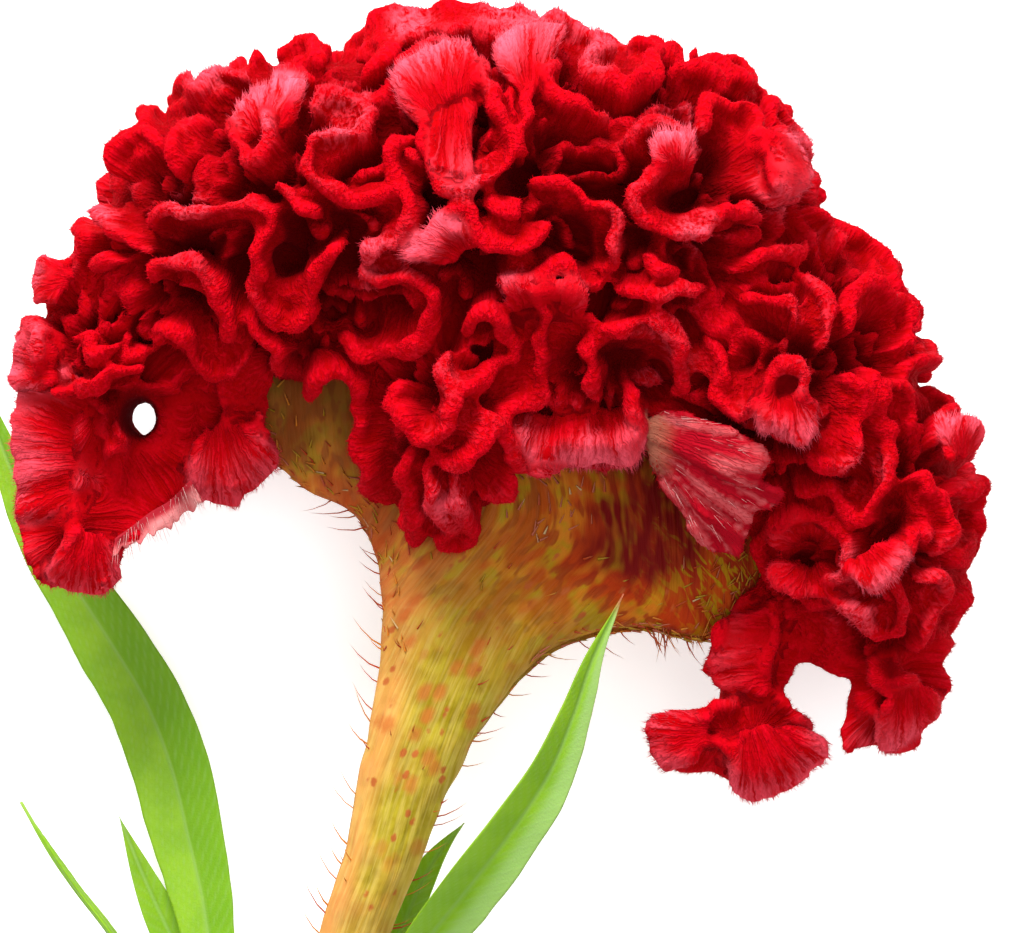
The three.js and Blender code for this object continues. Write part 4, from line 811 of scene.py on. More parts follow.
def stalk_material():
    """Yellow-green skin with an orange flush, which turns into rusty scales on the fan, with painted shade
    under the crest.
    """
    n = Nodes("stalk_skin")
    mottle = n.grain(3.6)
    cloud = n.noise(n.growth(4.5, 7.0))
    fibre = n.noise(n.growth(0.5, 9.0))
    strokes = n.noise(n.growth(1.5, 3.4), detail=1.0)
    curls = n.noise(n.growth(3.2, 1.5), detail=1.0, distortion=1.5)
    # The green skin
    colour = n.mix(n.span(mottle, 0.35, 0.65), STALK_GREEN, STALK_OLIVE)
    colour = n.mix(n.shade("flush"), colour, STALK_ORANGE)
    colour = n.mix(n.times(n.span(fibre, 0.4, 0.65), 0.32), colour, STALK_LIGHT)
    colour = n.mix(n.times(n.span(n.shade("rib"), 0.45, 0.0), 0.25), colour, STALK_OLIVE)
    colour = n.mix(n.times(n.shade("blot"), n.dots(3.2, 4.4, 0.06, 0.4)), colour, STALK_BLOT)
    # The scales of the fan
    scales = n.mix(n.span(mottle, 0.38, 0.6), FAN_OLIVE, FAN_OCHRE)
    scales = n.mix(n.span(cloud, 0.4, 0.56), scales, FAN_RUST)
    scales = n.mix(n.times(n.span(strokes, 0.52, 0.62), 0.8), scales, FAN_STROKE)
    rusty = n.mix(n.span(cloud, 0.4, 0.6), FAN_RUST, FAN_STROKE)
    scales = n.mix(n.shade("curled"), scales, n.mix(n.span(curls, 0.5, 0.6), rusty, FAN_OLIVE))
    colour = n.mix(n.shade("rust"), colour, scales)
    # Specks, painted shade under the crest and the dark red patch
    colour = n.mix(n.times(n.shade("speck"), n.dots(2.6, 4.0, 0.03, 0.15)), colour, STALK_SPECK)
    # Painted shade on the fan's left end under the crest
    colour = n.mix(n.shade("painted_crest_shadow"), colour, FAN_PAINTED_SHADOW)
    colour = n.mix(n.times(n.shade("red"), n.span(strokes, 0.3, 0.6, 0.6, 1.0)), colour, STALK_RED)
    n.bump(n.plus(fibre, n.times(strokes, 1.5)), 0.35, 0.7)
    return n.finish(
        colour,
        Roughness=0.7,
        Specular_IOR_Level=0.07,
        Subsurface_Weight=0.1,
        Subsurface_Radius=(0.004, 0.003, 0.001),
        Subsurface_Scale=1.0,
    )


def bract_material():
    """Bristles and bracts, each of a colour of its own from olive over rust to pale."""
    n = Nodes("bract_skin")
    hue = n.shade("hue")
    colour = n.mix(n.span(hue, 0.1, 0.4), FAN_OLIVE, FAN_OCHRE)
    colour = n.mix(n.span(hue, 0.5, 0.6), colour, FAN_RUST)
    colour = n.mix(n.span(hue, 0.8, 0.86), colour, BRACT_PINK)
    colour = n.mix(n.span(hue, 0.95, 0.98), colour, BRACT_PALE)
    colour = n.mix(n.times(n.shade("tip"), 0.15), colour, BRACT_PALE)
    return n.finish(colour, Roughness=0.7, Specular_IOR_Level=0.15)


def leaf_material():
    """Satin green with paler veins, and painted shade on one half of one leaf."""
    n = Nodes("leaf_skin")
    vein = n.shade("vein")
    colour = n.mix(n.span(n.grain(5.0, 3.0), 0.3, 0.7), LEAF_GREEN, LEAF_DARK)
    # Painted shade on one half of the shaded leaf
    colour = n.mix(n.times(n.shade("dark"), 0.6), colour, LEAF_SHADED)
    colour = n.mix(n.times(vein, 0.45), colour, LEAF_PALE)
    colour = n.mix(n.shade("pale"), colour, LEAF_PALE)
    colour = n.mix(n.shade("tip"), colour, LEAF_TIP)
    n.bump(n.plus(n.grain(0.35, 3.0), vein), 0.12, 0.5)
    return n.finish(
        colour,
        Roughness=0.5,
        Specular_IOR_Level=0.22,
        Subsurface_Weight=0.1,
        Subsurface_Radius=(0.002, 0.004, 0.0005),
        Subsurface_Scale=1.0,
    )


# The crest's shape, in mm where nothing else is said
VOXEL = 0.65  # the surface is remade with faces this wide
BODY_VOXEL = 0.9  # the same for the body before the folds stand on it
BODY_TRIM = 0.9  # the solid's folds are made this much thinner on the front, where finer ones stand
DROP_HEIGHT = 45  # height from which the photo's lines are dropped onto the hull
FOLD_STEP = 0.8  # between the points along a fold
PETAL_REACH = 2.0  # points this near a petal's middle surface belong to it
MOST_CREST_TRIANGLES = 194000
VALLEY_DROP = 1.8  # the creases between folds are pushed this much deeper
RIDGE_HEIGHT = 3.0  # small folds that fill the bare places between the large ones
RIDGE_SPACING = 4.4  # between these small folds
SIDE_SEED = 500
SIDE_STARTS = 3500  # walks that are tried on the sides and the back
SIDE_STEPS = 34  # steps of each walk
SIDE_LEAST = 0.05  # share of a place that has to belong to the sides
SIDE_CELL = 0.6  # cells of space in which the walks are kept apart
SIDE_GAP = 3.5  # between the folds of the sides and the back
SIDE_BEND = 9.0  # across their bends
SIDE_RISE = -0.9  # that their rims stand over those of the front
SIDE_CORE = 3.2  # under the hull, where the body ends between them
SHORTEST_FOLD = 4.5
EDGE_FILL = 0.35  # share of their depth by which creases are shallower along the crest's outline
HAIR_SETS = {"crest_fuzz_a": 21, "crest_fuzz_b": 22, "crest_fuzz_c": 23}  # piece and random seed
HAIRS_PER_SET = 50000


def read_field(items, field, each, kind):
    """One field of all of a mesh's vertices, edges or corners, with a number of values for each."""
    values = np.empty(len(items) * each, kind)
    items.foreach_get(field, values)
    return values


class Skin:
    """A closed surface remade with even small faces, with averages over neighbours."""

    def __init__(self, source, voxel):
        body = bpy.data.objects.new("skin_source", source)
        bpy.context.scene.collection.objects.link(body)
        even = body.modifiers.new("even", "REMESH")
        even.mode = "VOXEL"
        even.voxel_size = voxel * MM
        shown = body.evaluated_get(bpy.context.evaluated_depsgraph_get())
        mesh = bpy.data.meshes.new_from_object(shown)
        bpy.data.objects.remove(body)
        self.faces = read_field(mesh.loops, "vertex_index", 1, np.int32).reshape(-1, 4)
        points = read_field(mesh.vertices, "co", 3, np.float32).reshape(-1, 3)
        self.points = points.astype(float) / MM - ROW_SHIFT
        self.ends = read_field(mesh.edges, "vertices", 2, np.int32).reshape(-1, 2)
        self.count = len(self.points)
        self.degree = np.bincount(self.ends.ravel(), minlength=self.count)
        bpy.data.meshes.remove(mesh)

    def average(self, values):
        """Each point's average over its neighbours."""
        a, b = self.ends.T
        columns = values.reshape(self.count, -1)
        summed = [np.bincount(a, c[b], self.count) + np.bincount(b, c[a], self.count) for c in columns.T]
        return (np.stack(summed, axis=1) / self.degree[:, None]).reshape(values.shape)

    def calm(self, values, rounds, share=0.5):
        """Values moved towards their neighbours' average, a number of times."""
        for _ in range(rounds):
            values = values + share * (self.average(values) - values)
        return values

    def round_off(self, rounds, share, back):
        """Rounds off the facets without shrinking the folds."""
        for _ in range(rounds):
            self.points = self.calm(self.points, 1, share)
            self.points = self.calm(self.points, 1, -back)

    def normals(self):
        p = self.points
        f = self.faces
        across = np.cross(p[f[:, 2]] - p[f[:, 0]], p[f[:, 3]] - p[f[:, 1]])
        total = [sum(np.bincount(f[:, k], column, self.count) for k in range(4)) for column in across.T]
        return unit(np.stack(total, axis=1))


def split_quads(faces):
    """Two triangles from each face."""
    return np.concatenate((faces[:, [0, 1, 2]], faces[:, [0, 2, 3]]))


def ring_faces(stations, around):
    """The faces between closed rings of points."""
    ring, k = np.meshgrid(np.arange(stations - 1), np.arange(around), indexing="ij")
    after = (k + 1) % around
    low = ring * around
    high = low + around
    return np.stack((low + k, low + after, high + after, high + k), axis=-1).reshape(-1, 4)


def joined_mesh(parts):
    """One mesh of several closed surfaces, each as points in mm and triangles."""
    points = (np.concatenate([p for p, f in parts]) + ROW_SHIFT) * MM
    starts = np.cumsum([0] + [len(p) for p, f in parts])
    faces = np.concatenate([f + start for (p, f), start in zip(parts, starts)])
    mesh = bpy.data.meshes.new("joined")
    mesh.from_pydata(points.tolist(), [], faces.tolist())
    return mesh


def front_line(pixels):
    """Photo pixels dropped onto the crest's hull from the front."""
    points = np.array([from_photo(*pixel, DROP_HEIGHT) for pixel in pixels])
    for _ in range(70):
        gap = hull(points)
        points[:, 2] -= np.where((gap > 0.05) & (points[:, 2] > -2), np.maximum(gap * 0.7, 0.1), 0)
    for _ in range(3):
        points = onto_hull(points)[0]
    return points


def closed_blade(top, low):
    """The closed surface of a thin blade, from the grids of its two sides."""
    rings = np.concatenate((top, low[:, ::-1]), axis=1)
    stations, around = rings.shape[:2]
    caps = []
    for ring in (0, stations - 1):
        first = ring * around
        for k in range(around // 2 - 1):
            a, b = first + k, first + k + 1
            c, d = first + around - 2 - k, first + around - 1 - k
            caps.append((a, b, c, d) if ring else (d, c, b, a))
    return rings.reshape(-1, 3), np.concatenate((ring_faces(stations, around), np.array(caps)))


def thick_blade(middle, normal, half):
    """The closed surface of a blade around its middle surface, with half its thickness in mm."""
    half = half[..., None]
    return closed_blade(middle + normal * half, middle - normal * half)


def blade_part(middle, normal, half):
    """A blade as points and triangles, ready to be joined to the crest."""
    points, faces = thick_blade(middle, normal, half)
    return points, split_quads(faces)


def both_sides(values):
    """Values of a blade's middle surface for the points of its two sides."""
    return np.concatenate((values, values[:, ::-1]), axis=1).ravel()


def curtain(root, rim, belly, pleats, step=FLAP_STEP, folds=2.6, seed=81, above=None, jagged=0.0, taper=0.0):
    """A flap's middle surface between two lines, its normals, its pleats and the share of the way out."""
    rim_line = photo_line(rim)
    count = int(line_length(rim_line) / step)
    inner = even_curve(photo_line(root), count)
    outer = even_curve(rim_line, count)
    width = length_of(outer - inner)
    across = int(width.max() / step)
    share, run = np.meshgrid(np.linspace(0, 1, across), np.arange(count) * step)
    along_rim = spots(run[:, 0], 0.0, seed)
    teeth = jagged * (noise(along_rim, 0.7, seed) + noise(along_rim, 1.9, seed + 2))
    reach = share + share ** 3 * (teeth / width)[:, None]
    if taper > 0:
        ends = from_ends(run, -0.5, taper)
        reach = reach * (0.22 + 0.68 * ends)
        inner = inner - (0, 0, 1.4)
        outer = outer - np.array((0, 0, 2.2)) * (1 - ends[:, :1])
    reach = reach[..., None]
    middle = inner[:, None] * (1 - reach) + outer[:, None] * reach
    middle[..., 2] += belly * np.sin(math.pi * share ** 1.3)
    if above is not None:
        middle[..., 2] = above(middle)
    normal = unit(np.cross(np.gradient(middle, axis=1), np.gradient(middle, axis=0)))
    place = spots(run, 2.5 * share, 0.0)
    wave = (noise(place, folds, seed) + 0.5 * noise(place, 0.45 * folds, seed + 1)).reshape(count, across)
    middle = middle + normal * (pleats * wave * share)[..., None]
    return middle, normal, wave, share


def curtain_part(root, rim, belly, pleats):
    """One of the curtains as a closed surface, thicker towards its rim."""
    middle, normal, wave, share = curtain(root, rim, belly, pleats)
    return blade_part(middle, normal, 0.75 + 0.2 * share)


def petal_parts():
    """The petals as closed surfaces, and what the velvet on them looks like from place to place."""
    parts = []
    looks = []
    for seed, (name, (root, rim, belly, paleness)) in enumerate(PETALS.items(), PETAL_SEED):
        dry = name == DRY_PETAL
        middle, normal, wave, share = curtain(
            root, rim, belly, 1.3 if dry else 0.6, folds=3.1 + 1.2 * dry, seed=seed, jagged=0.5, taper=3.2)
        parts.append(blade_part(middle, normal, 0.55 + 0.15 * share * (1 - dry)))
        run = np.arange(len(middle))[:, None] * FLAP_STEP * np.ones_like(share)
        way = unit(middle[:, -1] - middle[:, 0])[:, None]
        patch = noise(spots(run, 2 * share, 9), 4.0, seed).reshape(share.shape)
        crests = wave if normal[..., 2].mean() > 0 else -wave
        looks.append({
            "middle": middle.reshape(-1, 3),
            "strand": spots(run, 1.2 * share, 40 * seed),
            "way": np.broadcast_to(way, middle.shape).reshape(-1, 3),
            "pale": (paleness * from_ends(run, 0.0, 3.0) * ease(share + 0.3 * patch, 0.3, 1.1)).ravel(),
            "share": share.ravel(),
            "ridge": (0.85 * dry * (1 - ease(np.abs(crests - 0.3), 0.04, 0.26))).ravel(),
            "dry": np.full(share.size, float(dry)),
        })
    return parts, {key: np.concatenate([look[key] for look in looks]) for key in looks[0]}


def nearest(points, targets, reach):
    """For each point the nearest target, and how near it is, from 0 at the reach to 1."""
    tree = KDTree(len(targets))
    for k, target in enumerate(targets):
        tree.insert(target, k)
    tree.balance()
    picked = np.zeros(len(points), int)
    near = np.zeros(len(points))
    low = targets.min(axis=0) - reach
    high = targets.max(axis=0) + reach
    for i in np.nonzero(((points > low) & (points < high)).all(axis=1))[0]:
        found, k, gap = tree.find(points[i])
        if gap < reach:
            picked[i] = k
            near[i] = 1 - gap / reach
    return picked, near


# A fold's section from one root over the rim to the other: half width and height over the hull, in mm
HALF_SECTION = [(0.9, -8.5), (0.8, -5.5), (0.85, -3.0), (1.15, -1.4), (1.15, -0.2), (0.7, 0.6)]
FOLD_SECTION = [*((-across, height) for across, height in HALF_SECTION), (0, 0.9), *HALF_SECTION[::-1]]


def on_side(points, up):
    """How much each point belongs to the crest's sides and back, away from its thin flaps, 0 to 1."""
    pixels = to_photo(points)
    share = 1 - ease(up[:, 2], 0.1, 0.45)
    for outline in (*FLAP_OUTLINES.values(), *FREE_OUTLINES.values()):
        share = share * (1 - in_outline(pixels, outline))
    return share * clear_of_opening(pixels, 30)


def side_walks():
    """Walks over the hull's sides and back along level lines of noise, and which steps are free there."""
    draw = np.random.default_rng(24)
    points = draw.uniform((-80, -60, -MID_HEIGHT), (78, 56, 20), (SIDE_STARTS, 3))
    for _ in range(15):
        gap, up = hull_slope(points)
        points -= 0.8 * up * gap[:, None]
    points = points[on_side(points, up) > SIDE_LEAST]
    rows = []
    for _ in range(SIDE_STEPS):
        points, up = onto_hull(points)
        rows.append(points)
        here = noise(points, SIDE_BEND, 25)
        slope = np.stack([noise(points + 0.3 * axis, SIDE_BEND, 25) - here for axis in np.eye(3)], axis=1)
        points = points + FOLD_STEP * unit(np.cross(up, slope))
    walks = np.stack(rows, axis=1)
    places = walks.reshape(-1, 3)
    gap, up = hull_slope(places)
    free = (on_side(places, up) > SIDE_LEAST) & (places[:, 2] > 1 - MID_HEIGHT)
    return walks, free.reshape(walks.shape[:2])


def side_lines():
    """Lines for the folds of the sides and the back, kept apart from one another and from the front's."""
    walks, free = side_walks()
    places = walks.reshape(-1, 3)
    margin = 60
    low = places.min(axis=0) - margin
    taken = np.zeros(((places.max(axis=0) + margin - low) / SIDE_CELL).astype(int), bool)
    reach = int(SIDE_GAP / SIDE_CELL)
    ball = np.array(list(itertools.product(range(-reach, reach + 1), repeat=3)))
    ball = ball[length_of(ball) * SIDE_CELL < SIDE_GAP]

    def cells(points):
        return ((points - low) / SIDE_CELL).astype(int)

    def take(points):
        taken[tuple((cells(points)[:, None] + ball).reshape(-1, 3).T)] = True

    for line in FRONT_FOLDS.values():
        take(even_curve(front_line(line), 3 * len(line)))
    lines = []
    for walk, clear in zip(walks, free):
        clear = clear & ~taken[tuple(cells(walk).T)]
        steps = len(clear) if clear.all() else int(clear.argmin())
        if steps * FOLD_STEP > SHORTEST_FOLD:
            lines.append(walk[:steps:4])
            take(walk[:steps])
    return lines


def fold_sheet(rough, seed, rise=0.0):
    """A fold as a sheet with a thick waved rim, which follows a line on the hull."""
    count = max(8, int(line_length(rough) / FOLD_STEP))
    line = even_curve(rough, count)
    for _ in range(2):
        line, up = onto_hull(line)
    along = unit(np.gradient(line, axis=0))
    side = unit(np.cross(along, up))
    run = np.arange(count) * FOLD_STEP
    place = spots(run, 17.0 * seed, 0.0)
    ends = from_ends(run, -1.0, 3.5)
    wander = (1.5 * noise(place, 4.4, 71) + 0.7 * noise(place, 2.2, 74)) * ends
    wide = (1 + 0.3 * noise(place, 3.1, 72)) * (0.5 + 0.5 * ends)
    tall = rise + 0.7 * noise(place, 3.7, 73) - 2.4 * (1 - ends)
    rings = []
    for across, height in FOLD_SECTION:
        near_rim = ease(height, -6.5, -1.0)
        offset = across * wide + wander * near_rim
        rings.append(line + side * offset[:, None] + up * (height + tall * near_rim)[:, None])
    around = len(FOLD_SECTION)
    last = (count - 1) * around
    caps = []
    for k in range(1, around - 1):
        caps += [(0, k + 1, k), (last, last + k, last + k + 1)]
    faces = np.concatenate((split_quads(ring_faces(count, around)), np.array(caps)))
    return np.stack(rings, axis=1).reshape(-1, 3), faces


def crest_body():
    """The solid's surface, calmed and trimmed with the hollows pushed in, as points and triangles."""
    body = Skin(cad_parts["crest"].data.copy(), BODY_VOXEL)
    body.points = body.calm(body.points, 4)
    front = ease(body.points[:, 2], 0, 9)
    body.points -= body.normals() * (BODY_TRIM * front)[:, None]
    pixels = to_photo(body.points)
    for px, py, radius in HOLLOWS:
        away = length_of(pixels - (px, py))
        body.points[:, 2] -= HOLLOW_DEPTH * front * (1 - ease(away, 0.4 * radius, 1.4 * radius))
    back = 1 - ease(body.points[:, 2], -22, -10)
    body.points += back[:, None] * (body.calm(body.points, 16) - body.points)
    depth, up = hull_slope(body.points)
    body.points -= up * (on_side(body.points, up) * np.maximum(depth + SIDE_CORE, 0))[:, None]
    return body.points, split_quads(body.faces)


def crest_parts():
    """The body and all folds and flaps as closed surfaces, and the looks of the petals."""
    parts = [crest_body()]
    parts += [fold_sheet(front_line(line), k) for k, line in enumerate(FRONT_FOLDS.values())]
    parts += [fold_sheet(line, k, SIDE_RISE) for k, line in enumerate(side_lines(), SIDE_SEED)]
    parts += [curtain_part(**flap) for flap in CURTAINS.values()]
    petals, petal_looks = petal_parts()
    return parts + petals, petal_looks


def wave_folds(skin, loose):
    """Waves the folds a little, so that no two are alike."""
    for cell, reach, seed in ((6.5, 0.8, 35), (2.9, 0.4, 38)):
        skin.points += reach * noise_vectors(skin.points, cell, seed) * loose[:, None]


def add_small_folds(skin, on_flap, still):
    """Adds small folds in bare places and deeper creases, and returns each point's foot on the hull."""
    depth, up = hull_slope(skin.points)
    foot = skin.points - up * depth[:, None]
    level = np.clip(-depth, 0, 12)
    open_side = (1 - on_flap) * ease(-level, -11, -8.5) * still
    field = noise(foot + 2.0 * noise_vectors(foot, 5.0, 31), RIDGE_SPACING, 34)
    ridge = 1 - ease(np.abs(field), 0.02, 0.36)
    facing_out = (skin.normals() * up).sum(axis=1)
    bare = skin.calm(ease(facing_out, 0.5, 0.85) * ease(level, 2.3, 3.6), 2) * open_side
    at_edge = 1 - ease(np.abs(up[:, 2]), 0.2, 0.6)
    lift = bare * (RIDGE_HEIGHT * ridge - VALLEY_DROP * (1 - ridge)) * (1 - at_edge)
    lift += EDGE_FILL * level * at_edge * open_side
    skin.points += up * lift[:, None]
    skin.round_off(3, 0.5, 0.45)
    return foot


def fill_lips(skin, still):
    """Makes fuller lips and tighter creases, and returns how far each point stands out, and the normals."""
    normals = skin.normals()
    bulge = skin.points - skin.calm(skin.points, 14, 0.6)
    height = skin.calm((bulge * normals).sum(axis=1), 2)
    fullness = 0.2 + 0.35 * noise(skin.points, 9.0, 39)
    swell = np.where(height > 0, fullness, 0.8) * np.clip(height, -1.4, 0.8) * still
    skin.points += normals * swell[:, None]
    return height, normals


def dress_crest():
    """The crest's velvet: its shape first, then the shades on it and the ways that its hairs grow."""
    parts, petals = crest_parts()
    skin = Skin(joined_mesh(parts), VOXEL)
    skin.round_off(5, 0.55, 0.5)
    pixels = to_photo(skin.points)
    on_flap = np.zeros(skin.count)
    for outline in FLAP_OUTLINES.values():
        on_flap = np.maximum(on_flap, in_outline(pixels, outline))
    on_flap = skin.calm(on_flap, 6)
    still = clear_of_opening(pixels, 24)
    wave_folds(skin, (1 - 0.75 * on_flap) * still)
    foot = add_small_folds(skin, on_flap, still)
    height, normals = fill_lips(skin, still)
    # The velvet's strands, as places that stay the same along a strand
    picked, near = nearest(skin.points, petals["middle"], PETAL_REACH)
    on_petal = skin.calm(ease(near, 0.15, 0.45), 2)
    seam = np.maximum(4 * on_petal * (1 - on_petal), 4 * on_flap * (1 - on_flap))
    rim_point, flat_up = onto_hull(skin.points * (1, 1, 0))
    rim_point[:, 2] = 0.3 * skin.points[:, 2]
    strand = np.where((on_flap > 0.5)[:, None], rim_point, foot)
    strand = np.where((on_petal > 0.5)[:, None], petals["strand"][picked], strand)
    swell = 0.55 * noise(strand, 2.6, 1) * ease(height, -0.6, 0.5)
    fine = 0.28 * noise(strand, 1.5, 5)
    skin.points += normals * ((swell + fine) * (0.2 + 0.8 * still) * (1 - 0.9 * seam))[:, None]
    keep_over_floor(skin.points, FLOOR_GAP)
    # Pale pink lips, partly painted highlight where they face the top light, painted shade in the
    # hollows, and the looks of the petals
    depth, up = hull_slope(skin.points)
    skin.way = skin.normals()
    facing = ease(skin.points[:, 2], -12, 4)
    # Painted highlight: the pale pink grows where the surface faces the top light
    lit = 0.7 + 0.3 * skin.way[:, 1]
    patches = 0.3 * ease(noise(skin.points, 9.0, 47), 0.1, 0.7)
    near_rim = np.maximum(ease(height, 0.0, 0.8), 0.85 * ease(depth, -4.0, 0.5))
    pale = 0.8 * np.maximum(pale_amount(pixels) * facing, patches) * near_rim * lit
    petal_share = petals["share"][picked]
    not_petal = 1 - on_petal * ease(petal_share, 0.1, 0.4)
    skin.shades = {
        "dry": on_petal * petals["dry"][picked],
        "ridge": petals["ridge"][picked],
        "root": on_petal * (1 - ease(petal_share, 0.08, 0.3)),
        "strand": strand * MM,
        "even": 1 - ease(seam, 0.1, 0.7),
        "rim": ease(height, -0.25, 0.6),
        "pale": np.maximum(pale * (1 - on_petal), petals["pale"][picked] * on_petal),
        # painted shade in the hollows, darker the deeper a point lies under the hull
        "deep": 0.92 * ease(-depth, 0.6, 9.0) * (1 - on_flap) * not_petal,
    }
    skin.up = unit(up * (1 - on_flap)[:, None] + flat_up * on_flap[:, None])
    skin.up = unit(skin.up * (1 - on_petal)[:, None] + petals["way"][picked] * on_petal[:, None])
    crest = make_piece("crest_velvet", skin.points, skin.faces, velvet_material(), skin.shades)
    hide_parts("crest")
    thin_out(crest, 1 - (0.4 + 0.57 * facing) * ease(height, -0.6, 0.0), MOST_CREST_TRIANGLES)
    return skin, petals


def thin_out(piece, weights, most):
    """Joins faces where the weights are high, down to a number of triangles."""
    triangles = sum(len(p.vertices) - 2 for p in piece.data.polygons)
    if triangles <= most:
        return
    group = piece.vertex_groups.new(name="thin")
    for k, weight in enumerate(weights):
        group.add([k], float(weight), "REPLACE")
    thin = piece.modifiers.new("thin", "DECIMATE")
    thin.ratio = most / triangles
    thin.vertex_group = "thin"
    shown = piece.evaluated_get(bpy.context.evaluated_depsgraph_get())
    mesh = bpy.data.meshes.new_from_object(shown)
    for vertex in mesh.vertices:
        vertex.co.z = max(vertex.co.z, FLOOR_GAP * MM)
    old = piece.data
    piece.modifiers.clear()
    piece.data = mesh
    bpy.data.meshes.remove(old)


def grow_fuzz(skin):
    """The velvet's short hairs, which lie along the folds' walls and stand out at their rims."""
    corners = skin.points[skin.faces]
    areas = 0.5 * length_of(np.cross(corners[:, 2] - corners[:, 0], corners[:, 3] - corners[:, 1]))
    rim = skin.shades["rim"]
    wanted = (0.25 + rim) * (1 - 0.85 * skin.shades["deep"]) * (0.3 + 0.7 * ease(skin.points[:, 2], -22, -6))
    chance = areas * wanted[skin.faces].mean(axis=1)
    chance /= chance.sum()
    material = fuzz_material()
    for name, seed in HAIR_SETS.items():
        draw = np.random.default_rng(seed)
        picked = draw.choice(len(skin.faces), HAIRS_PER_SET, p=chance)
        u, v = draw.random((2, HAIRS_PER_SET, 1))
        shares = np.concatenate(((1 - u) * (1 - v), u * (1 - v), u * v, (1 - u) * v), axis=1)

        def blend(values):
            return np.einsum("ij,ij...->i...", shares, values[skin.faces[picked]])

        normal = unit(blend(skin.way))
        up = unit(blend(skin.up))
        climb = up - normal * (up * normal).sum(axis=1)[:, None]
        shades = {shade: blend(skin.shades[shade]) for shade in ("pale", "rim", "deep")}
        pale = shades["pale"]
        jitter = draw.normal(0, 0.2, (HAIRS_PER_SET, 3)) * (1 - 0.5 * pale)[:, None]
        ways = unit(0.36 * normal + 0.95 * climb + jitter)
        lengths = (0.5 + 0.25 * shades["rim"] + 0.9 * pale) * draw.uniform(0.6, 1.3, HAIRS_PER_SET)
        radii = draw.uniform(0.045, 0.08, HAIRS_PER_SET)
        feet = blend(skin.points) - 0.1 * normal
        make_spikes(name, feet, ways, lengths, radii, None, material, shades)


def height_over(skin, grid):
    """Heights that keep a grid just above the crest's surface, in mm."""
    cell = 0.8
    margin = 8
    low = skin.points[:, :2].min(axis=0) - margin
    size = ((skin.points[:, :2].max(axis=0) + margin - low) / cell).astype(int) + 1
    field = np.full(size, -40.0)
    i, j = ((skin.points[:, :2] - low) / cell).astype(int).T
    np.maximum.at(field, (i, j), skin.points[:, 2])
    field = np.max([np.roll(field, shift, axis) for axis in (0, 1) for shift in (-1, 0, 1)], axis=0)
    i, j = ((grid.reshape(-1, 3)[:, :2] - low) / cell).astype(int).T
    return field[i, j].reshape(grid.shape[:2])


def soften(grid, rounds):
    """Heights on a grid, moved towards their neighbours' average a number of times."""
    for _ in range(rounds):
        padded = np.pad(grid, 1, mode="edge")
        grid = (padded[:-2, 1:-1] + padded[2:, 1:-1] + padded[1:-1, :-2] + padded[1:-1, 2:] + 2 * grid) / 6
    return grid


def grow_fibres(name, feet, ways, outward, root, count, seed, material):
    """Thin pale fibres that lie along a papery flap."""
    draw = np.random.default_rng(seed)
    k = draw.integers(0, len(feet), count)
    away = outward[k]
    out = unit(ways[k] + draw.uniform(0.02, 0.25, (count, 1)) * away + draw.normal(0, 0.13, (count, 3)))
    lengths = draw.uniform(1.0, 3.4, count)
    radii = draw.uniform(0.03, 0.07, count)
    shades = {"ridge": draw.random(count), "root": root[k]}
    foot = feet[k] + 0.3 * away
    make_spikes(name, foot, out, lengths, radii, -0.06 * away, material, shades, tipped=False)


def dress_membrane(name, skin, root, rim, belly, pleats, folds, seed, fibres, material):
    """A thin papery flap with pleats that run from its root to its rim, and pale fibres along them."""

    def above(grid):
        return soften(np.maximum(grid[..., 2], height_over(skin, grid) - 0.2), 30)

    middle, normal, wave, share = curtain(root, rim, belly, pleats, 0.3, folds, seed, above, jagged=0.6)
    points, faces = thick_blade(middle, normal, 0.25 * (1 - 0.5 * share))
    shades = {
        "ridge": both_sides(0.3 * ease(wave, -0.5, 0.7)),
        "root": both_sides(1 - ease(share + 0.15 * wave, 0.25, 0.8)),
    }
    make_piece(name, points, faces, material, shades)
    feet = middle.reshape(-1, 3)
    ways = np.broadcast_to(unit(middle[:, -1] - middle[:, 0])[:, None], middle.shape).reshape(-1, 3)
    outward = (normal * np.sign(normal[..., 2:])).reshape(-1, 3)
    grow_fibres(name + "_fibres", feet, ways, outward, np.zeros(len(feet)), fibres, seed, material)


def grow_petal_fibres(petals, material):
    """Pale fibres on the dry flap over the fan."""
    on_dry = (petals["dry"] > 0) & (petals["share"] < 0.8)
    outward = np.zeros((on_dry.sum(), 3)) + (0, 0, 1)
    root = 1 - ease(petals["share"][on_dry], 0.1, 0.45)
    feet = petals["middle"][on_dry]
    grow_fibres("crest_dry_fibres", feet, petals["way"][on_dry], outward, root, DRY_FIBRES, 95, material)


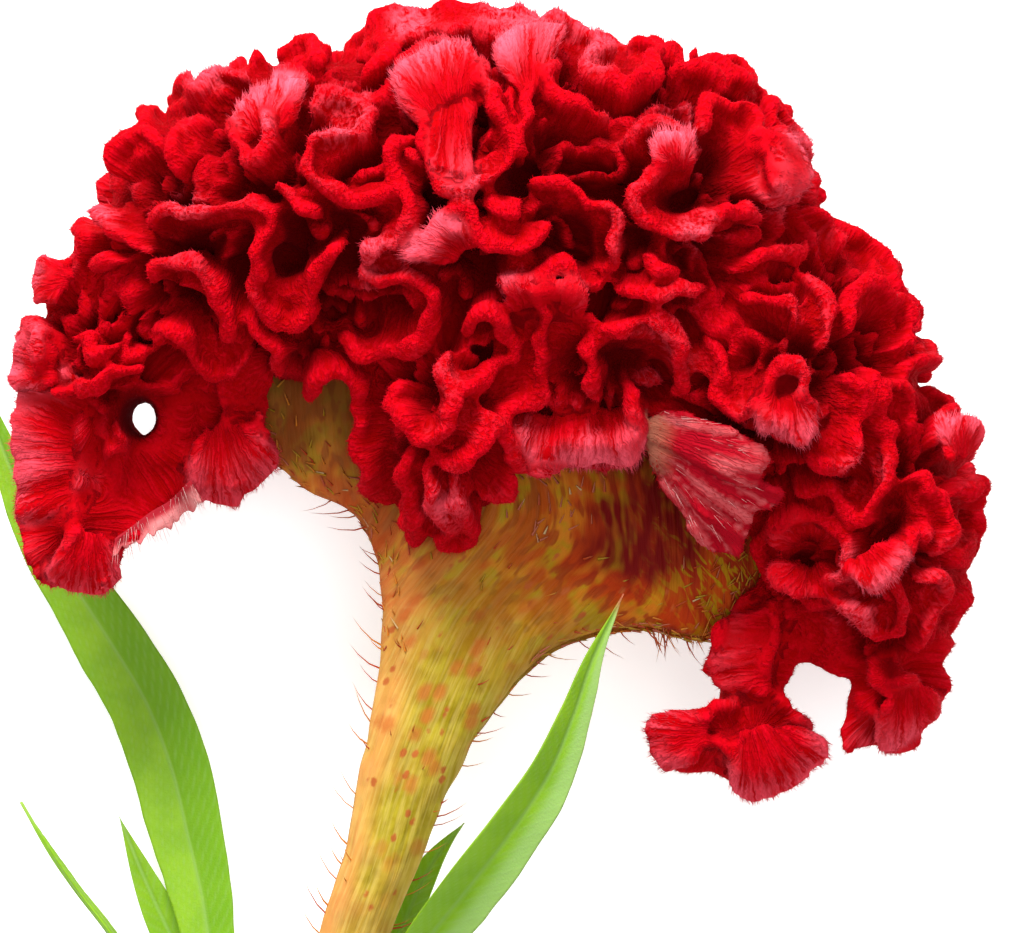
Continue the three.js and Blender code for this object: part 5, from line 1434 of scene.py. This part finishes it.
def stalk_rings(stations, around):
    """The stalk's flattened rings, with each point's place across it and along it, and its half width."""
    shares = np.linspace(0, 1, stations)
    left = smooth_curve([from_photo(*a, z) for a, b, z, thick, bow in STALK_SECTIONS], shares)
    right = smooth_curve([from_photo(*b, z) for a, b, z, thick, bow in STALK_SECTIONS], shares)
    apart = 10 * np.arange(len(STALK_SECTIONS))
    thick = smooth_curve([(x, s[3], 0) for x, s in zip(apart, STALK_SECTIONS)], shares)[:, 1]
    bow = smooth_curve([(x, s[4], 0) for x, s in zip(apart, STALK_SECTIONS)], shares)[:, 1] * MM_PER_PIXEL
    across = right - left
    half = length_of(across) / 2
    across = unit(across)
    up = np.stack((-across[:, 1], across[:, 0], np.zeros(stations)), axis=1)
    turn = 2 * math.pi * np.arange(around) / around
    u = np.cos(turn)
    middle = (left + right) / 2
    rings = (
        middle[:, None] + across[:, None] * (half[:, None] * u)[..., None]
        + up[:, None] * (bow[:, None] * (1 - u * u))[..., None]
    )
    rings[..., 2] += thick[:, None] * np.sin(turn)
    grid_u, grid_share = np.meshgrid(u, shares)
    return rings, grid_u, grid_share, half


def grid_normals(grid):
    """The outward direction at each point of a tube's rings."""
    along = np.gradient(grid, axis=0)
    round_it = np.roll(grid, -1, axis=1) - np.roll(grid, 1, axis=1)
    return unit(np.cross(along, round_it))


def close_ends(points, shades):
    """Closes the stalk's cut end and its hidden end with a point in the middle, also in the shades."""
    ends = []
    for ring in (0, STALK_STATIONS - 1):
        first = ring * STALK_AROUND
        rim = slice(first, first + STALK_AROUND)
        middle = len(points)
        points = np.vstack((points, points[rim].mean(axis=0)))
        for name, values in shades.items():
            shades[name] = np.append(values, values[rim].mean(axis=0, keepdims=True), axis=0)
        for k in range(STALK_AROUND):
            a, b = first + k, first + (k + 1) % STALK_AROUND
            ends.append((b, a, middle) if ring == 0 else (a, b, middle))
    return points, np.array(ends)


def stalk_shades(points, u, share, rib, lumps):
    """The stalk's colours from place to place, painted shade under the crest among them, each from 0 to 1.
    """
    px, py = to_photo(points).T
    patch = noise(points, 2.6, 46)
    aside = np.abs(px - RED_PATCH[0] + 0.6 * (py - RED_PATCH[1]))
    dark_patch = (
        ease(share, 0.7, 0.8) * (1 - ease(aside - 18 * patch, 20, 85))
        * (1 - ease(py + 20 * patch, 565, 610))
    )
    # Painted shade under the crest, laid in dark red
    painted_shade_under_crest = 0.75 * ease(share - 0.1 * ease(u, -0.4, -0.8), 0.86, 0.97)
    return {
        "rib": 0.5 + 0.5 * rib,
        "flush": np.clip(
            0.85 * ease(-u, 0.1, 0.9) + 0.5 * ease(-share, -0.45, -0.25) + 0.25 * lumps
            + 0.5 * ease(u, 0.75, 1.0) * ease(share, 0.6, 0.8), 0, 1),
        "speck": 0.9 * ease(share, 0.02, 0.2),
        "blot": 0.15 + 0.6 * ease(share, 0.3, 0.5),
        "rust": ease(share, 0.5, 0.74) * (0.75 + 0.25 * ease(u, -0.4, 0.4)),
        "curled": 0.85 * ease(share, 0.72, 0.84) * ease(u + 0.25 * patch, 0.3, 0.6),
        # Painted shade on the fan's left end under the crest
        "painted_crest_shadow": 0.7 * ease(-u, 0.5, 0.75) * ease(share + 0.03 * patch, 0.84, 0.92),
        # The dark red patch, and painted shade under the crest
        "red": np.clip(dark_patch * (1.6 + 0.4 * patch) + painted_shade_under_crest * ease(patch, -0.3, 0.5), 0, 1),
    }


def dress_stalk():
    """The stalk's skin, with ribs that run up it and fan out with it."""
    rings, u, share, half = stalk_rings(STALK_STATIONS, STALK_AROUND)
    normals = grid_normals(rings)
    front = np.sign(rings[..., 2] - rings[..., 2].mean(axis=1, keepdims=True))
    place = spots(u * 7.0, share * 5.0, front * 3.0)
    rib = noise(place, 1.0, 41) + 0.5 * noise(place * (2.3, 1.6, 1), 1.0, 42)
    lumps = noise(rings.reshape(-1, 3), 4.0, 43)
    spread = (0.2 + 0.35 * ease(share, 0.45, 0.8)).ravel()
    points = rings.reshape(-1, 3) + normals.reshape(-1, 3) * (spread * rib + 0.25 * lumps)[:, None]
    keep_over_floor(points, STALK_CLEARANCE)
    shades = stalk_shades(points, u.ravel(), share.ravel(), rib, lumps)
    run = run_along(rings.mean(axis=1))
    shades["growth"] = spots(u * half[:, None], run[:, None], front * 40)
    points, ends = close_ends(points, shades)
    faces = np.concatenate((split_quads(ring_faces(STALK_STATIONS, STALK_AROUND)), ends))
    stalk = make_piece("stalk_skin", points, faces, stalk_material(), shades)
    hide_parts("stalk")
    return rings, normals


def way_up(rings, i, k):
    """The direction up the stalk at points of its rings."""
    return unit(rings[i + 1, k] - rings[i - 1, k])


def grow_bristles(rings, normals, draw, material):
    """The thin curved bristles along the stalk's edges and faces."""
    stations, around = rings.shape[:2]
    first = int(0.16 * stations)
    last = int(0.8 * stations)
    feet = []
    lengths = []
    for edge in (0, around // 2):
        for i in np.linspace(first, last, EDGE_BRISTLES).astype(int):
            feet.append((i, (edge + draw.integers(-3, 4)) % around))
            lengths.append(draw.uniform(2.6, 5.6))
    for _ in range(FACE_BRISTLES):
        feet.append((draw.integers(first, last), draw.integers(0, around)))
        lengths.append(draw.uniform(1.0, 2.6))
    i, k = np.array(feet).T
    count = len(i)
    i = np.clip(i + draw.integers(-3, 4, count), 1, stations - 2)
    up = way_up(rings, i, k)
    out = unit(normals[i, k] + 0.35 * up + draw.normal(0, 0.16, (count, 3)))
    radii = draw.uniform(0.12, 0.2, count)
    make_spikes("stalk_bristles", rings[i, k] - 0.2 * normals[i, k], out, np.array(lengths), radii, 0.5 * up,
                material, {"hue": draw.uniform(0.3, 0.8, count)})


def grow_fan_bracts(rings, normals, draw, material):
    """The small papery bracts that cover the fan."""
    stations, around = rings.shape[:2]
    i = draw.integers(int(0.5 * stations), stations - 3, FAN_BRACTS)
    k = draw.integers(0, around, FAN_BRACTS)
    at_edge = ease(np.abs(np.cos(2 * math.pi * k / around)), 0.75, 0.98)
    papery = in_outline(to_photo(rings[i, k]), PAPERY_BITS) & (normals[i, k][:, 2] > 0)
    chance = np.where(papery, 0.9, (0.15 + 0.85 * at_edge) * ease(i / stations, 0.5, 0.8))
    keep = draw.random(FAN_BRACTS) < chance
    i, k, papery = i[keep], k[keep], papery[keep]
    count = len(i)
    up = way_up(rings, i, k)
    side = unit(np.cross(up, normals[i, k]))
    lean = draw.normal(0, 0.55, count)[:, None]
    out = unit(up + lean * side + normals[i, k] * draw.uniform(0.0, 0.2, (count, 1)))
    lengths = draw.uniform(1.0, 2.2, count)
    radii = draw.uniform(0.14, 0.3, count)
    hue = np.where(papery, draw.uniform(0.82, 1.0, count), draw.random(count))
    make_spikes("fan_bracts", rings[i, k], out, lengths, radii, 0.1 * normals[i, k], material,
                {"hue": hue})


def grow_hanging_bracts(draw, material):
    """Limp bracts that hang below the fan's lower edge."""
    share = draw.random((HANGING_BRACTS, 1))
    first, last = photo_line(HANGING_EDGE)
    foot = first + share * (last - first) + draw.normal(0, 0.7, (HANGING_BRACTS, 3))
    out = unit(np.array((0.25, -1.0, 0.0)) + draw.normal(0, 0.4, foot.shape))
    lengths = draw.uniform(1.6, 4.6, HANGING_BRACTS)
    radii = draw.uniform(0.12, 0.26, HANGING_BRACTS)
    hue = draw.uniform(0.3, 1.0, HANGING_BRACTS)
    make_spikes("hanging_bracts", foot, out, lengths, radii, 0.3 * out, material, {"hue": hue})


def leaf_outline(share, widest):
    """A leaf's width along its blade, 1 where it is widest."""
    rising = np.sin(math.pi / 2 * np.clip(share / widest, 0, 1)) ** 1.35
    falling = np.cos(math.pi / 2 * np.clip((share - widest) / (1 - widest), 0, 1)) ** 1.1
    return np.where(share < widest, rising, falling)


def dress_leaf(name, line, half, widest, roll, crease, wave, seed, material):
    """A thin creased blade along its centre line, with waved edges, a rib and side veins."""
    centre = even_curve(photo_line(line), LEAF_STATIONS)
    share = np.linspace(0, 1, LEAF_STATIONS)
    along = unit(np.gradient(centre, axis=0))
    flat = unit(np.cross(along, (0, 0, 1)))
    face = np.cross(flat, along)
    cosine, sine = math.cos(math.radians(roll)), math.sin(math.radians(roll))
    flat, face = flat * cosine - face * sine, face * cosine + flat * sine
    bell = leaf_outline(share, widest)
    wide = np.maximum(half * bell, np.where(share < 0.3, 0.85, 0.05))[:, None]
    grid_u, grid_share = np.meshgrid(np.linspace(-1, 1, LEAF_ACROSS + 1), share)
    aside = np.abs(grid_u)
    run = grid_share * line_length(centre)
    place = spots(run, np.sign(grid_u) * 9, 0.0)
    edge_wave = wave * (noise(place, 7.0, seed) + 0.5 * noise(place, 3.0, seed + 100)).reshape(run.shape)
    spread = grid_u * wide * (1 + 0.1 * edge_wave)
    rise = crease * wide * aside ** 1.3 + edge_wave * aside ** 2 * bell[:, None]
    # Side veins leave the rib at a slant, and the rib is a groove above and a ridge below
    slant = run * 0.42 - aside * wide * 0.62
    vein = np.clip(1 - np.abs((slant % 1.0) - 0.5) * 5, 0, 1) * ease(aside, 0.08, 0.2)
    rib = 1 - ease(aside * wide, 0.12, 0.5)
    thick = LEAF_THICKNESS * (1 - 0.55 * aside ** 3) * (1 - 0.5 * ease(grid_share, 0.85, 1))
    middle = centre[:, None] + flat[:, None] * spread[..., None]
    top = middle + face[:, None] * (rise + thick / 2 - 0.22 * rib - 0.05 * vein)[..., None]
    low = middle + face[:, None] * (rise - thick / 2 - 0.35 * rib)[..., None]
    points, faces = closed_blade(top, low)
    keep_over_floor(points, LEAF_CLEARANCE)
    shades = {
        "vein": both_sides(np.maximum(rib, 0.6 * vein)),
        "pale": both_sides(0.8 * ease(grid_u, 0.15, 0.6) * (name == PALE_LEAF)),
        "tip": both_sides(ease(grid_share, 0.955, 0.995) * (name == PALE_LEAF)),
        # Painted shade on one half
        "dark": both_sides(ease(grid_u, -0.1, 0.15) * (name == SHADED_LEAF)),
    }
    leaf = make_piece(name + "_blade", points, faces, material, shades)
    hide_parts(name)


def make_camera():
    """The camera that looks straight down with the photo's view. Returns the middle of that view."""
    focal = 180
    sensor = 36
    away = PHOTO_SIZE[0] * MM_PER_PIXEL * focal / sensor
    camera_data = bpy.data.cameras.new("camera")
    camera_data.lens = focal
    camera_data.sensor_width = sensor
    camera = bpy.data.objects.new("camera", camera_data)
    middle = from_photo(PHOTO_SIZE[0] / 2, PHOTO_SIZE[1] / 2) + ROW_SHIFT
    camera.location = (middle[0] * MM, middle[1] * MM, (middle[2] + away) * MM)
    bpy.context.scene.collection.objects.link(camera)
    bpy.context.scene.camera = camera
    return middle * MM


def make_light(name, place, target, size, power):
    """A soft round light that points at a target."""
    data = bpy.data.lights.new(name, "AREA")
    data.shape = "DISK"
    data.size = size
    data.energy = power
    light = bpy.data.objects.new(name, data)
    light.location = place
    way = np.array(target) - np.array(place)
    light.rotation_euler = Vector(way).to_track_quat("-Z", "Y").to_euler()
    bpy.context.scene.collection.objects.link(light)


def make_stage(middle):
    """The pale floor, which glows a little, the two lights and the even light around them."""
    half = 1.5
    corners = [(-half, -half, 0), (half, -half, 0), (half, half, 0), (-half, half, 0)]
    mesh = bpy.data.meshes.new("floor")
    mesh.from_pydata(corners, [], [(0, 1, 2, 3)])
    floor = bpy.data.objects.new("floor", mesh)
    bpy.context.scene.collection.objects.link(floor)
    n = Nodes("floor_white")
    white = (0.93, 0.93, 0.93)
    # The floor glows a little: painted light that lifts the shadows on it
    glow = {"Emission_Color": (*white, 1), "Emission_Strength": 0.5}
    mesh.materials.append(n.finish(white, Roughness=0.9, Specular_IOR_Level=0.1, **glow))
    make_light("top_light", (middle[0] - 0.15, middle[1] + 0.7, 0.5), middle, 0.45, 15)
    make_light("front_light", (middle[0] + 0.15, middle[1] - 0.1, 1.1), middle, 0.9, 6)
    world = bpy.data.worlds.new("studio")
    world.use_nodes = True
    background = world.node_tree.nodes["Background"]
    background.inputs["Color"].default_value = (1, 1, 1, 1)
    background.inputs["Strength"].default_value = 0.55
    bpy.context.scene.world = world
    bpy.context.scene.view_settings.view_transform = "Standard"


middle = make_camera()
make_stage(middle)
crest_skin, petal_looks = dress_crest()
grow_fuzz(crest_skin)
papery = papery_material()
grow_petal_fibres(petal_looks, papery)
dress_membrane("crest_membrane", crest_skin, material=papery, **MEMBRANE)
stalk_grid, stalk_normals = dress_stalk()
bract_draw = np.random.default_rng(51)
bract_skin = bract_material()
grow_bristles(stalk_grid, stalk_normals, bract_draw, bract_skin)
grow_fan_bracts(stalk_grid, stalk_normals, bract_draw, bract_skin)
grow_hanging_bracts(bract_draw, bract_skin)
leaf_skin = leaf_material()
for leaf_name, leaf_shape in LEAVES.items():
    dress_leaf(leaf_name, material=leaf_skin, **leaf_shape)
